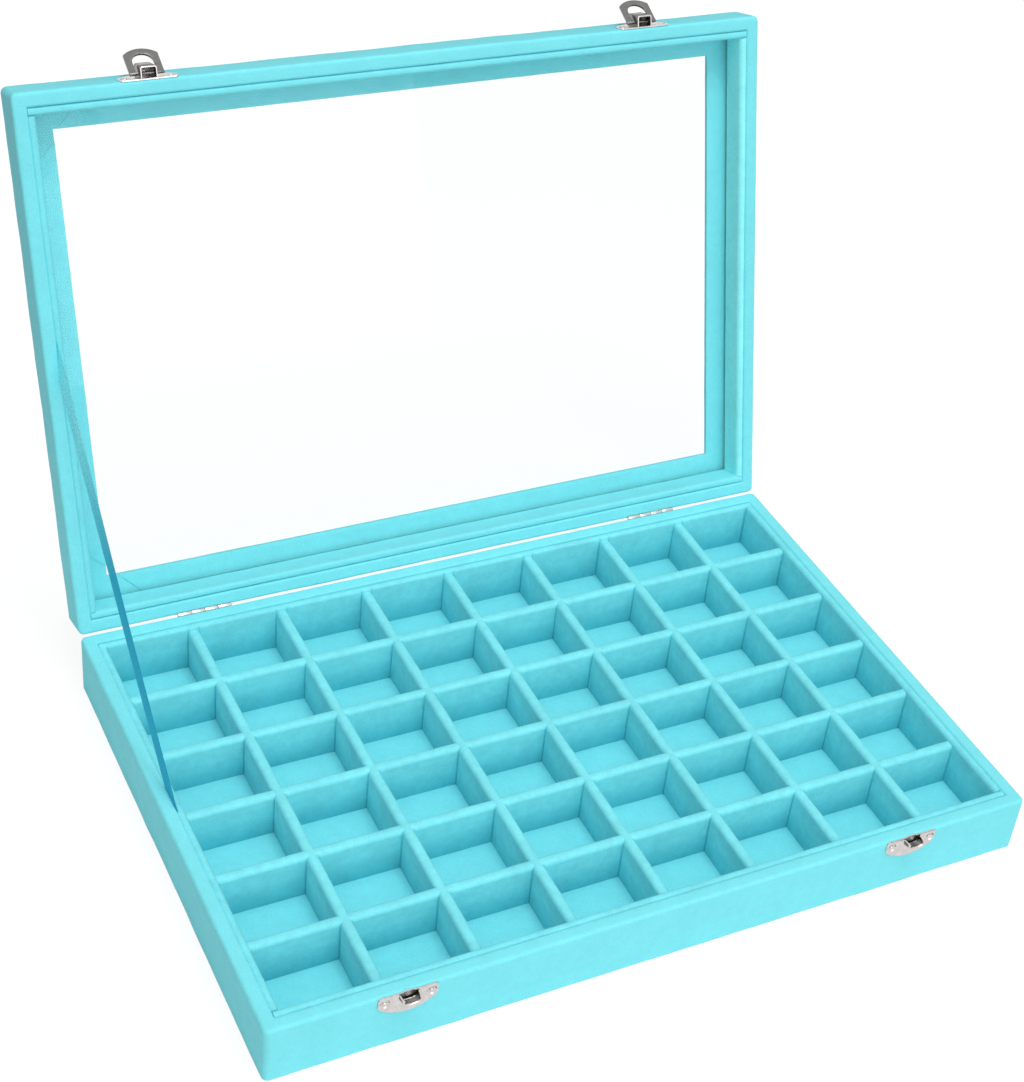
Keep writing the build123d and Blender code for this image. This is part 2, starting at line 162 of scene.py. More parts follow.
class BoxSizes(bpy.types.PropertyGroup):
    """Sizes of the box's covers and fittings."""

    lid_height: length("Lid height", "From the lid's rim to its outer face", 18.5 * MM)
    cloth: length("Cloth thickness", "Thickness of the velvet over the boards", 0.8 * MM)
    wall: length("Wall thickness", "From the outer face to the groove in the rim", 6.25 * MM)
    rim_rounding: length("Rim rounding", "Radius of the rim's outer edge", 1.5 * MM)
    groove_rounding: length("Groove rounding", "Radius of the rim's edge at the groove", 1.1 * MM)
    groove_depth: length("Groove depth", "How far the velvet turns into the groove", 3.0 * MM)
    corner: length("Corner radius", "Radius of the upright corners", 2.6 * MM)
    inner_corner: length("Inner corner radius", "Least radius of an inside corner", 0.5 * MM)
    hem: length("Hem height", "Height of the velvet's lower edge above the table", 0.4 * MM)
    liner: length("Liner thickness", "Thickness of the strips inside the walls", 3.4 * MM)
    liner_fit: length("Liner gap", "Gap between a liner and its wall", 0.1 * MM)
    side_press: length("Side press", "How far a side liner's pile sinks into the wall's", 0.4 * MM)
    liner_drop: length("Liner drop", "How far a liner stays below the rim", 0.4 * MM)
    liner_rounding: length("Liner rounding", "Radius of a liner's inner edge at the rim", 1.4 * MM)
    liner_outer: length("Liner groove rounding", "Radius of a long liner's edge at the groove", 1.3 * MM)
    side_outer: length("Side groove rounding", "Radius of a side liner's edge at the groove", 1.3 * MM)
    side_inner: length("Side liner rounding", "Radius of a side liner's inner edge", 2.2 * MM)
    window_border: length("Window border", "From the outer face to the window's edge", 19.0 * MM)
    window_rounding: length("Window edge rounding", "Radius of the window's edges", 0.9 * MM)
    window_board: length("Window board", "Thickness of the board and its cover", 2.4 * MM)
    under_layer: length("Under layer", "Thickness of the velvet below the flaps", 0.05 * MM)
    flap: length("Flap thickness", "Thickness of the turned-in flaps", 0.43 * MM)
    flap_width: length("Flap width", "From the window's edge to a flap's far edge", 10.0 * MM)
    flap_edge: length("Flap edge", "Width of a flap's thinner edges", 1.2 * MM)
    flap_setback: length("Flap setback", "From a window corner to a flap's end", 5.0 * MM)
    front_setback: length("Front flap setback", "The same for the flap at the hasps", 1.5 * MM)
    pane_low: length("Pane height", "From the lid's rim to the pane", 13.1 * MM)
    divider: length("Divider thickness", "Thickness of the cell dividers", 5.0 * MM)
    divider_rounding: length("Divider rounding", "Radius of a divider's top edges", 2.0 * MM)
    divider_step: length("Divider step", "How much lower the long dividers are", 0.15 * MM)
    divider_press: length("Divider press", "How far a divider's end sinks into the liner's pile", 0.4 * MM)
    columns: IntProperty(name="Columns", description="Cells from left to right", default=8, min=1)
    rows: IntProperty(name="Rows", description="Cells from front to back", default=6, min=1)
    floor_puff: length("Floor puff", "How far the floor swells in each cell", 0.7 * MM)
    floor_dip: length("Floor dip", "How far the floor's top lies below its solid's", 0.2 * MM)
    unevenness: length("Unevenness", "How far the glued velvet strays from flat", 0.22 * MM)
    rim_freedom: share("Rim unevenness", "Share of that on the rims, which meet when the lid closes", 0.4)
    unevenness_size: length("Unevenness size", "Size of one swelling of the velvet", 22.0 * MM)
    mesh_step: length("Mesh step", "Length of one face along an edge", 4.0 * MM)
    rim_step: length("Rim step", "Length of one face across a rim", 1.5 * MM)
    border_step: length("Border step", "Length of one face across the window's border", 2.0 * MM)
    metal_edge: length("Metal edge rounding", "Rounding of the pressed metal's edges", 0.12 * MM)


class LatchSizes(bpy.types.PropertyGroup):
    """Sizes of the latches and their nails. Up is from a plate's straight edge to its bow."""

    metal: length("Sheet thickness", "Thickness of the pressed plates", 0.6 * MM)
    edge: length("Edge rounding", "Rounding of a plate's edges", 0.22 * MM)
    end: length("End height", "Height of a plate at its ends", 5.6 * MM)
    middle: length("Middle height", "Height of a plate in the middle", 10.8 * MM)
    corner: length("Corner radius", "Radius of a plate's corners", 1.2 * MM)
    tab_half: length("Tab half width", "Half width of the tab on a catch plate", 2.1 * MM)
    tab: length("Tab height", "How far the tab rises over the straight edge", 0.5 * MM)
    tab_slope: length("Tab slope", "Width of each sloping side of the tab", 0.4 * MM)
    nail_across: length("Nail distance", "From a plate's middle to a nail", 9.7 * MM)
    nail_up: length("Nail height", "From the straight edge to a nail", 3.5 * MM)
    dish: length("Dish radius", "Radius of the pressed dish round a nail", 2.15 * MM)
    dish_wall: length("Dish wall", "Width of the dish's sloping wall", 0.45 * MM)
    dish_depth: length("Dish depth", "Depth of the pressed dish", 0.42 * MM)
    leaf_metal: length("Leaf thickness", "Thickness of a hinge leaf", 0.6 * MM)
    leaf_nail_across: length("Leaf nail distance", "From a leaf's middle to a nail", 8.0 * MM)
    leaf_nail_up: length("Leaf nail height", "From the hinge pin to a nail", 8.0 * MM)
    nail_head: length("Nail head radius", "Radius of a nail's head", 1.05 * MM)
    nail_rise: length("Nail head height", "Height of a nail's round head", 0.6 * MM)
    nail_shank: length("Nail shank radius", "Radius of a nail's shank", 0.5 * MM)
    nail_length: length("Nail length", "Length of a nail's shank", 4.8 * MM)
    nail_point: length("Nail point", "Length of the shank's point", 0.8 * MM)
    nail_tilt: tilt("Nail tilt", "The most that a nail leans", 4.0)
    scoop_top: length("Scoop top", "From the straight edge to the middle of the scoop's oval", 1.6 * MM)
    scoop_start: length("Scoop start", "From the straight edge to the scoop's side walls", 0.35 * MM)
    scoop_wall: length("Scoop wall", "Thickness of the scoop's wall", 0.6 * MM)
    mouth_drop: length("Mouth drop", "From the oval's middle to that of the cut behind it", 0.6 * MM)
    scoop_out: length("Scoop reach", "How far the scoop stands out of its plate", 4.2 * MM)
    scoop_roll: length("Lip radius", "Radius of the scoop's rolled lip", 0.55 * MM)
    bracket_start: length("Bracket start", "From the straight edge to the bracket", 0.5 * MM)
    bracket_length: length("Bracket length", "Length of the tunnel bracket", 9.6 * MM)
    bracket_half: length("Bracket half width", "Half width of the tunnel bracket", 3.6 * MM)
    bracket_height: length("Bracket height", "Height of the bracket over its plate", 4.8 * MM)
    bracket_wall: length("Bracket wall", "Thickness of the bracket's sheet", 0.7 * MM)
    bracket_corner: length("Bracket corner", "Radius of the bracket's bends", 0.9 * MM)
    step: length("Mesh step", "Length of one face on a plate", 0.21 * MM)


class BoxColours(bpy.types.PropertyGroup):
    """Colours of the box's finishes."""

    velvet: colour("Velvet", "Base colour of the velvet", (0.22, 0.80, 0.875))
    velvet_light: colour("Velvet sheen", "Colour of the light on the pile", (0.72, 0.97, 1.0))
    velvet_sheen: share("Velvet sheen amount", "How much light the pile scatters", 0.26)
    # Painted light: a lighter copy of the velvet for the lid's right liner, standing in for light on that
    # face.
    velvet_painted_light: colour("Brushed velvet", "Colour of the lid's right liner", (0.32, 0.97, 1.0))
    # Painted shade: the deep colour below is mixed into the cells' velvet low on the walls and in the seams
    # between dividers, standing in for the shade there.
    velvet_painted_shade: colour("Deep velvet", "Colour of the velvet low in the cells", (0.02, 0.37, 0.47))
    low_painted_shade: share("Low depth", "How deep the colour is where a cell's walls meet the floor", 0.5)
    low_shade_height: length("Low height", "How high that deeper colour reaches", 12.0 * MM)
    seam_painted_shade: share("Seam depth", "How deep the colour is in the seams between dividers", 1.0)
    seam_shade_width: length("Seam width", "How wide the seams' deeper colour is", 0.9 * MM)
    seam_shade_top: share("Seam top", "Share of that depth at the top of the dividers", 0.3)
    satin: colour("Satin", "Colour of the ribbon near the base", (0.015, 0.36, 0.56))
    # Painted highlight: the ribbon's colour turns from the satin colour to the lit one towards the lid,
    # standing in for the light that it catches there.
    satin_lit: colour("Lit satin", "Colour of the ribbon near the lid", (0.29, 0.97, 1.0))
    satin_light: colour("Satin sheen", "Colour of the light on the ribbon", (0.12, 0.74, 1.0))
    nickel: colour("Nickel", "Colour of the plated metal", (0.66, 0.62, 0.61))
    # The steel colour is also used on the plates' marked faces as painted shade.
    steel: colour("Steel", "Colour of the hasp loops, which are darker", (0.21, 0.21, 0.20))
    board: colour("Board", "Colour of the boards", (0.55, 0.40, 0.25))
    felt: colour("Felt", "Colour of the felt under the base", (0.03, 0.18, 0.22))
    pane: colour("Pane", "Tint of the clear pane", (0.97, 0.99, 0.99))


class StageSettings(bpy.types.PropertyGroup):
    """Light, floor and camera."""

    top_power: share("Top light power", "Watts of the light above", 19.6)
    top_place: spot("Top light place", "Where the light above is", (0.0, -0.5, 2.3))
    top_size: length("Top light size", "Side of that square light", 0.9)
    front_power: share("Front light power", "Watts of the large low light at the front", 10.6)
    front_place: spot("Front light place", "Where the light at the front is", (0.3, -2.3, 0.7))
    front_size: length("Front light size", "Side of that square light", 1.4)
    light_aim: spot("Light aim", "The place that both lights look at", (0.0, 0.05, 0.1))
    sky_bright: share("Sky light", "Light from the bright side of the sky", 0.85)
    sky_dim: share("Dim sky light", "Light from the dim side of the sky", 0.0)
    sky_axis: spot("Sky axis", "Towards the sky's bright side", (0.0, -0.4, 0.92))
    sky_reach: share("Sky reach", "Share of the axis at which the sky is at its brightest", 0.8)
    floor_radius: length("Floor radius", "Radius of the round floor", 8.0)
    floor_white: share("Floor white", "How much of the floor is pure white", 0.8)
    floor_glow: share("Floor glow", "Strength of the floor's pure white", 1.08)
    table: length("Table", "How far from the middle the floor reflects as white", 0.5)
    near_floor: share("Near floor", "How much light the floor reflects near the box", 0.86)
    far_floor: share("Far floor", "How much light the floor reflects farther away", 0.2)
    camera_place: spot("Camera place", "Where the camera is", (-0.35548, -0.59821, 0.65215))
    camera_turn: FloatVectorProperty(
        name="Camera turn",
        description="How the camera is turned",
        default=[math.radians(a) for a in (52.1855, -6.5375, -27.1033)],
        subtype="EULER",
    )
    camera_shift: FloatVectorProperty(
        name="Camera shift",
        description="Shift of the picture, over its long side",
        default=(-0.09165, 0.02199),
        size=2,
    )
    sensor: length("Sensor width", "Width of the camera's sensor", 36.0 * MM)
    focal: length("Focal length", "The camera's focal length for that sensor", 70.164 * MM)


def sizes():
    """The scene's sizes."""
    return bpy.context.scene.box_sizes


def latch_sizes():
    """The scene's latch sizes."""
    return bpy.context.scene.box_latches


def colours():
    """The scene's colours."""
    return bpy.context.scene.box_colours


def lined_half():
    """Half the length and half the depth between the liners."""
    s = sizes()
    inset = s.wall + s.liner_fit + s.liner
    return half_length - inset, half_depth - inset


def cell_pitches():
    """From the middle of one cell to the next, along the length and along the depth."""
    s = sizes()
    half_x, half_y = lined_half()
    return (2 * half_x + s.divider) / s.columns, (2 * half_y + s.divider) / s.rows


# Materials


def new_material(name):
    """An empty node material with its shader, and the object coordinates."""
    material = bpy.data.materials.new(name)
    material.use_nodes = True
    tree = material.node_tree
    shader = tree.nodes["Principled BSDF"]
    place = tree.nodes.new("ShaderNodeTexCoord").outputs["Object"]
    return material, tree, shader, place


def set_inputs(node, **values):
    """Set a node's inputs by name, with underscores for spaces."""
    for name, value in values.items():
        node.inputs[name.replace("_", " ")].default_value = value


def stretched(tree, place, scale):
    """Coordinates scaled along each axis."""
    mapping = tree.nodes.new("ShaderNodeMapping")
    set_inputs(mapping, Scale=scale)
    tree.links.new(place, mapping.inputs["Vector"])
    return mapping.outputs["Vector"]


def feed(tree, socket, value):
    """Link a socket to another, or set its value."""
    if isinstance(value, bpy.types.NodeSocket):
        tree.links.new(value, socket)
    else:
        socket.default_value = value


def spread_value(tree, value, start, end, low, high):
    """A value's range from start to end, spread between a low and a high value."""
    spread = tree.nodes.new("ShaderNodeMapRange")
    set_inputs(spread, From_Min=start, From_Max=end, To_Max=high)
    feed(tree, spread.inputs["To Min"], low)
    tree.links.new(value, spread.inputs["Value"])
    return spread.outputs["Result"]


def noise_value(tree, place, scale, low, high, detail=2.0):
    """A noise pattern, most of it spread between a low and a high value."""
    texture = tree.nodes.new("ShaderNodeTexNoise")
    set_inputs(texture, Scale=scale, Detail=detail)
    tree.links.new(place, texture.inputs["Vector"])
    most_low, most_high = 0.3, 0.7
    return spread_value(tree, texture.outputs["Fac"], most_low, most_high, low, high)


def value_math(tree, operation, *values):
    """The result of a math node: each value is a socket to link or a number to set."""
    made = tree.nodes.new("ShaderNodeMath")
    made.operation = operation
    for socket, value in zip(made.inputs, values):
        feed(tree, socket, value)
    return made.outputs["Value"]


def multiply(tree, first, second):
    """The product of two values."""
    return value_math(tree, "MULTIPLY", first, second)


def scaled(tree, vector, amount):
    """A vector made longer or shorter, or a colour made lighter or darker, by an amount."""
    scale = tree.nodes.new("ShaderNodeVectorMath")
    scale.operation = "SCALE"
    feed(tree, scale.inputs[0], vector)
    tree.links.new(amount, scale.inputs["Scale"])
    return scale.outputs["Vector"]


def mixed_colour(tree, first, second, amount):
    """A colour between two: the first where the amount is zero and the second where it is one."""
    mix = tree.nodes.new("ShaderNodeMix")
    mix.data_type = "RGBA"
    tree.links.new(amount, mix.inputs[0])
    mix.inputs[6].default_value = (*first, 1.0)
    mix.inputs[7].default_value = (*second, 1.0)
    return mix.outputs[2]


def add_bump(tree, shader, height, strength, distance):
    """Raise a shader's surface by a height pattern."""
    bump = tree.nodes.new("ShaderNodeBump")
    set_inputs(bump, Strength=strength, Distance=distance)
    tree.links.new(height, bump.inputs["Height"])
    tree.links.new(bump.outputs["Normal"], shader.inputs["Normal"])


def velvet_material():
    """Short-pile velvet of the covers, the floor, the flaps and most of the lid's liners."""
    material, tree, shader, place = new_material("ice_velvet")
    finish_velvet(tree, shader, place, colours().velvet, mottling=0.02)
    return material


def painted_light_velvet_material():
    """Velvet in a lighter colour, painted light on the lid's right liner."""
    material, tree, shader, place = new_material("painted_light_velvet")
    finish_velvet(tree, shader, place, colours().velvet_painted_light, mottling=0.03)
    return material


def shaded_cell_velvet_material():
    """Velvet of the cells' walls: more uneven, with painted shade that deepens its colour low down and in
    the seams.
    """
    material, tree, shader, place = new_material("shaded_cell_velvet")
    c = colours()
    parts = tree.nodes.new("ShaderNodeSeparateXYZ")
    tree.links.new(place, parts.inputs[0])
    height = parts.outputs["Z"]
    # Painted shade: the colour deepens low on the walls, most at the floor.
    low = spread_value(tree, height, floor_top, floor_top + c.low_shade_height, c.low_painted_shade, 0.0)
    squares = []
    for axis, pitch in zip("XY", cell_pitches()):
        from_middle = value_math(tree, "PINGPONG", parts.outputs[axis], pitch / 2)
        from_face = value_math(tree, "SUBTRACT", from_middle, sizes().divider / 2)
        squares.append(multiply(tree, from_face, from_face))
    corner = value_math(tree, "SQRT", value_math(tree, "ADD", *squares))
    # Painted shade: the colour deepens in the seams where dividers meet, less towards their tops.
    seam = spread_value(tree, corner, 0.0, c.seam_shade_width, c.seam_painted_shade, 0.0)
    fading = spread_value(tree, height, floor_top, divider_top, 1.0, c.seam_shade_top)
    depth = value_math(tree, "MAXIMUM", low, multiply(tree, seam, fading))
    tint = mixed_colour(tree, c.velvet, c.velvet_painted_shade, depth)
    finish_velvet(tree, shader, place, tint, mottling=0.045)
    return material


def finish_velvet(tree, shader, place, tint, mottling):
    """Give a shader the pile's colour: a soft nap in patches, a finer mottle and a grain."""
    patches = noise_value(tree, place, scale=60.0, low=1 - mottling, high=1 + mottling)
    mottle = noise_value(tree, place, scale=260.0, low=1 - mottling, high=1 + mottling)
    grain = noise_value(tree, place, scale=1500.0, low=0.96, high=1.04)
    nap = multiply(tree, multiply(tree, patches, mottle), grain)
    tree.links.new(scaled(tree, tint, nap), shader.inputs["Base Color"])
    pile = noise_value(tree, place, scale=1400.0, low=0.0, high=1.0, detail=3.0)
    add_bump(tree, shader, pile, strength=0.2, distance=0.1 * MM)
    set_inputs(
        shader,
        Roughness=0.95,
        Specular_IOR_Level=0.05,
        Sheen_Weight=colours().velvet_sheen,
        Sheen_Roughness=0.38,
        Sheen_Tint=(*colours().velvet_light, 1.0),
    )


def satin_material():
    """Satin ribbon with fine lengthwise threads, and a painted highlight that lightens its colour near the
    lid.
    """
    material, tree, shader, _ = new_material("satin_ribbon")
    uv_map = tree.nodes.new("ShaderNodeUVMap")
    uv_map.uv_map = "weave"
    weave = uv_map.outputs["UV"]
    parts = tree.nodes.new("ShaderNodeSeparateXYZ")
    tree.links.new(weave, parts.inputs[0])
    lengthwise, crosswise = (90.0, 9.0, 1.0), (14.0, 260.0, 1.0)
    threads = noise_value(tree, stretched(tree, weave, lengthwise), scale=1.0, low=0.82, high=1.15)
    ripples = noise_value(
        tree, stretched(tree, weave, crosswise), scale=1.0, low=0.8, high=1.2, detail=3.0
    )
    # Painted highlight: the colour lightens towards the lid along the ribbon.
    lit_start, lit_end = 0.5, 0.78
    lit = spread_value(tree, parts.outputs["Y"], lit_start, lit_end, 0.0, 1.0)
    tint = mixed_colour(tree, colours().satin, colours().satin_lit, lit)
    shine = multiply(tree, threads, ripples)
    tree.links.new(scaled(tree, tint, shine), shader.inputs["Base Color"])
    add_bump(tree, shader, shine, strength=0.25, distance=0.05 * MM)
    set_inputs(
        shader,
        Roughness=0.5,
        Specular_IOR_Level=0.0,
        Sheen_Weight=0.9,
        Sheen_Roughness=0.5,
        Sheen_Tint=(*colours().satin_light, 1.0),
    )
    return material


def nickel_material():
    """Nickel-plated pressed steel."""
    return metal_material("nickel_plate", colours().nickel)


def steel_and_shade_material():
    """Darker plated steel of the loops; on the plates' marked faces it is painted shade."""
    return metal_material("steel_loop_and_shade", colours().steel)


def metal_material(name, tint):
    """Plated metal with faint rolling marks and dull spots."""
    material, tree, shader, place = new_material(name)
    spots = noise_value(tree, place, scale=420.0, low=0.9, high=1.06, detail=4.0)
    tree.links.new(scaled(tree, tint, spots), shader.inputs["Base Color"])
    dull = noise_value(tree, place, scale=700.0, low=0.2, high=0.36, detail=3.0)
    tree.links.new(dull, shader.inputs["Roughness"])
    rolled = stretched(tree, place, (300.0, 2400.0, 2400.0))
    marks = noise_value(tree, rolled, scale=1.0, low=0.0, high=1.0)
    add_bump(tree, shader, marks, strength=0.12, distance=0.03 * MM)
    set_inputs(shader, Metallic=1.0)
    return material


def pane_material():
    """Clear pane."""
    material, tree, shader, place = new_material("clear_pane")
    smears = noise_value(tree, place, scale=18.0, low=0.0, high=0.004)
    tree.links.new(smears, shader.inputs["Roughness"])
    set_inputs(shader, Base_Color=(*colours().pane, 1.0), IOR=1.2, Transmission_Weight=1.0)
    return material


def board_material():
    """Plain fibre board."""
    material, tree, shader, place = new_material("fibre_board")
    pressed = stretched(tree, place, (90.0, 400.0, 400.0))
    fibres = noise_value(tree, pressed, scale=1.0, low=0.8, high=1.15, detail=4.0)
    tree.links.new(scaled(tree, colours().board, fibres), shader.inputs["Base Color"])
    add_bump(tree, shader, fibres, strength=0.3, distance=0.1 * MM)
    set_inputs(shader, Roughness=0.85)
    return material


def felt_material():
    """Pressed felt."""
    material, tree, shader, place = new_material("base_felt")
    fibres = noise_value(tree, place, scale=900.0, low=0.75, high=1.25, detail=4.0)
    tree.links.new(scaled(tree, colours().felt, fibres), shader.inputs["Base Color"])
    add_bump(tree, shader, fibres, strength=0.5, distance=0.2 * MM)
    set_inputs(shader, Roughness=1.0, Sheen_Weight=0.3)
    return material


# Each finish: what makes it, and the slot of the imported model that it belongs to
FINISHES = {
    "velvet": (velvet_material, "teal_velvet"),
    # Painted light: the lighter velvet of the lid's right liner.
    "painted_light_velvet": (painted_light_velvet_material, "teal_velvet"),
    # Painted shade: the cells' velvet, darker low down and in the seams.
    "shaded_cell_velvet": (shaded_cell_velvet_material, "teal_velvet"),
    "satin": (satin_material, "teal_satin"),
    "nickel": (nickel_material, "nickel"),
    # The steel finish also gives the plates' marked faces their painted shade.
    "steel": (steel_and_shade_material, "nickel"),
    "pane": (pane_material, "clear_pane"),
    "board": (board_material, "board"),
    "felt": (felt_material, "felt"),
}
made_materials = {}


def finish_of(kind):
    """The material of a kind, made once."""
    if kind not in made_materials:
        make, _ = FINISHES[kind]
        made_materials[kind] = make()
    return made_materials[kind]


# Mesh helpers


def mesh_from(bm, name):
    """A plain mesh with the faces of a working mesh, which is freed."""
    mesh = bpy.data.meshes.new(name)
    bm.to_mesh(mesh)
    bm.free()
    return mesh


def add_object(name, data):
    """A new object in the scene."""
    made = bpy.data.objects.new(name, data)
    bpy.context.scene.collection.objects.link(made)
    return made


def skin(bm, rows, closed=True):
    """Faces between each row of vertices and the next. In a closed row the last vertex meets the
    first."""
    count = len(rows[0])
    faces = []
    for before, after in zip(rows, rows[1:]):
        for i in range(count if closed else count - 1):
            k = (i + 1) % count
            faces.append(bm.faces.new((before[i], before[k], after[k], after[i])))
    return faces


def tube(bm, rings):
    """A skin of closed rings with a face on each end; the faces of the skin are returned."""
    faces = skin(bm, rings)
    bm.faces.new(rings[0])
    bm.faces.new(reversed(rings[-1]))
    return faces


def join_edges(bm, one, other):
    """Faces that join the edges of two sheets, each a list of rows of vertices."""
    for rows in ((one[0], other[0]), (one[-1], other[-1])):
        skin(bm, rows, closed=False)
    for i in (0, -1):
        skin(bm, ([row[i] for row in one], [row[i] for row in other]), closed=False)


def arc(centre_x, centre_z, radius, start, end, steps=6):
    """Points of an arc, with its angles in degrees."""
    points = []
    for i in range(steps + 1):
        angle = math.radians(start + (end - start) * i / steps)
        points.append((centre_x + radius * math.cos(angle), centre_z + radius * math.sin(angle)))
    return points


def split(start, end, step):
    """The points between two ends of a line, without the ends, about a step apart."""
    count = max(1, round((Vector(end) - Vector(start)).length / step))
    return [tuple(Vector(start).lerp(Vector(end), i / count)) for i in range(1, count)]


def make_uneven(bm, amount, size, seed, freedom=None):
    """Push a mesh in and out a little, as glued cloth lies; freedom says how much at a point."""
    bm.normal_update()
    shift = seed * Vector((7.3, 3.1, 5.7))
    finer, finer_share = 2.3, 0.5
    for vertex in bm.verts:
        swell = noise.noise(vertex.co / size + shift)
        swell += finer_share * noise.noise(vertex.co * finer / size + shift)
        if freedom:
            swell *= freedom(vertex.co)
        vertex.co += vertex.normal * swell * amount


def groove_freedom(point):
    """Zero where the cloth turns into the groove, little on the rims that meet, and one elsewhere."""
    s = sizes()
    inset = min(half_length - abs(point.x), half_depth - abs(point.y))
    if inset > s.wall:
        return float(point.z > lid_rim + s.lid_height - s.cloth / 2)
    near_rim = min(abs(point.z - base_top), abs(point.z - lid_rim)) < s.rim_rounding / 2
    most = s.rim_freedom if near_rim else 1.0
    growing = 3.0 * MM
    return most * min(1.0, max(0.0, s.wall - inset - s.groove_rounding / 2) / growing)


def new_piece(name, bm, kind, body, place=None, marked=None):
    """Turn a mesh into a finished piece on a body."""
    bmesh.ops.recalc_face_normals(bm, faces=bm.faces)
    mesh = mesh_from(bm, name)
    if place is not None:
        mesh.transform(place)
    return finish_piece(name, mesh, kind, body, marked)


def finish_piece(name, mesh, kind, body, marked=None):
    """Make a mesh a piece, with its finish, a second one for its marked faces and the
    body that it rides on."""
    mesh.name = name
    piece = add_object(name, mesh)
    marks = [polygon.material_index for polygon in mesh.polygons]
    mesh.materials.clear()
    mesh.materials.append(finish_of(kind))
    if marked:
        mesh.materials.append(finish_of(marked))
    for polygon, mark in zip(mesh.polygons, marks):
        polygon.material_index = mark if marked else 0
        polygon.use_smooth = True
    mesh.set_sharp_from_angle(angle=SMOOTH_ANGLE)
    if body:
        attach(piece, body)
    return piece


def band(profile, corner_steps=8):
    """A mesh that runs round the box's outline: the profile is a closed loop of inset and height."""
    s = sizes()
    side_steps = [round(2 * half_depth / s.mesh_step), round(2 * half_length / s.mesh_step)]
    loops = []
    for inset, height in profile:
        reach_x, reach_y = half_length - inset, half_depth - inset
        radius = max(s.corner - inset, s.inner_corner)
        corners = []
        for k, (sx, sy) in enumerate(((1, 1), (-1, 1), (-1, -1), (1, -1))):
            centre = Vector((sx * (reach_x - radius), sy * (reach_y - radius), height))
            turn = [math.radians(90 * (k + j / corner_steps)) for j in range(corner_steps + 1)]
            corners.append([centre + radius * Vector((math.cos(a), math.sin(a), 0)) for a in turn])
        loop = []
        for k in range(4):
            start, end = corners[k][-1], corners[(k + 1) % 4][0]
            count = side_steps[1 - k % 2]
            loop += corners[k] + [start.lerp(end, i / count) for i in range(1, count)]
        loops.append(loop)
    bm = bmesh.new()
    rings = [[bm.verts.new(point) for point in loop] for loop in loops]
    skin(bm, rings + rings[:1])
    return bm


def strip(start, end, width, root, tip, inner, outer):
    """A straight upright strip between two points: at the tip it has an inner edge radius, on
    the left of its way, and an outer one."""
    s = sizes()
    along = (end - start).normalized()
    across = Vector((-along.y, along.x, 0))
    way = 1 if tip > root else -1
    half = width / 2
    section = []
    for turn, radius in ((1, inner), (-1, outer)):
        side = tip - way * radius
        wall = [(turn * half, z) for _, z in [(0, root)] + split((0, root), (0, side), s.mesh_step)]
        bend = [(turn * x, side + way * z) for x, z in arc(half - radius, 0, radius, 0, 90)]
        section += (wall + bend)[::turn]
    count = round((end - start).length / s.mesh_step)
    bm = bmesh.new()
    rows = []
    for i in range(count + 1):
        middle = start.lerp(end, i / count)
        rows.append([bm.verts.new(middle + across * x + Vector((0, 0, z))) for x, z in section])
    tube(bm, rows)
    return bm


def softened_copy(node, kind):
    """A copy of a CAD node with its sharp edges rounded, which stands for the node."""
    source = frame["nodes"][node]
    bm = bmesh.new()
    bm.from_mesh(source.data)
    same_place, same_plane = 0.002 * MM, math.radians(1)
    bmesh.ops.remove_doubles(bm, verts=bm.verts, dist=same_place)
    bmesh.ops.dissolve_limit(bm, angle_limit=same_plane, verts=bm.verts, edges=bm.edges)
    sharp = [e for e in bm.edges if e.is_manifold and e.calc_face_angle(0) > SHARP_ANGLE]
    bmesh.ops.bevel(
        bm,
        geom=sharp,
        offset=sizes().metal_edge,
        segments=2,
        profile=0.5,
        affect="EDGES",
        clamp_overlap=True,
    )
    bmesh.ops.triangulate(bm, faces=bm.faces)
    body = body_of(source)[0]
    piece = finish_piece(f"{node}_finished", mesh_from(bm, node), kind, body)
    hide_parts(node)


def give_finish(node, kind):
    """Give a CAD node its material."""
    data = frame["nodes"][node].data
    data.materials.clear()
    data.materials.append(finish_of(kind))


# Geometry node trees


class Tree:
    """A geometry node tree with named inputs."""

    def __init__(self, name, inputs):
        self.tree = bpy.data.node_groups.new(name, "GeometryNodeTree")
        self.tree.interface.new_socket("Geometry", in_out="INPUT", socket_type="NodeSocketGeometry")
        self.tree.interface.new_socket("Geometry", in_out="OUTPUT", socket_type="NodeSocketGeometry")
        self.names = {}
        for label, kind in inputs.items():
            socket = self.tree.interface.new_socket(label, in_out="INPUT", socket_type=f"NodeSocket{kind}")
            self.names[label] = socket.identifier
        self.start = self.tree.nodes.new("NodeGroupInput")
        self.end = self.tree.nodes.new("NodeGroupOutput")

    def node(self, kind, settings=None, **inputs):
        """Add a node: an input is a socket to link or a value to set."""
        made = self.tree.nodes.new(kind)
        for name, value in (settings or {}).items():
            setattr(made, name, value)
        for name, value in inputs.items():
            feed(self.tree, made.inputs[name.replace("_", " ")], value)
        return made

    def math(self, operation, first, second):
        """A math node's result."""
        return value_math(self.tree, operation, first, second)

    def vector(self, x=0.0, y=0.0, z=0.0):
        """A vector from three values."""
        return self.node("ShaderNodeCombineXYZ", X=x, Y=y, Z=z).outputs[0]

    def finish(self, geometry):
        """Give the geometry the finish that the tree is told, and hand it out."""
        finish = self.start.outputs["Finish"]
        finished = self.node("GeometryNodeSetMaterial", Geometry=geometry, Material=finish)
        self.tree.links.new(finished.outputs[0], self.end.inputs[0])

    def apply(self, base, values):
        """Run the tree on a mesh and return the result as a plain mesh."""
        holder = add_object("holder", base)
        modifier = holder.modifiers.new("shape", "NODES")
        modifier.node_group = self.tree
        for label, value in values.items():
            modifier[self.names[label]] = value
        depsgraph = bpy.context.evaluated_depsgraph_get()
        mesh = bpy.data.meshes.new_from_object(holder.evaluated_get(depsgraph))
        bpy.data.objects.remove(holder)
        return mesh


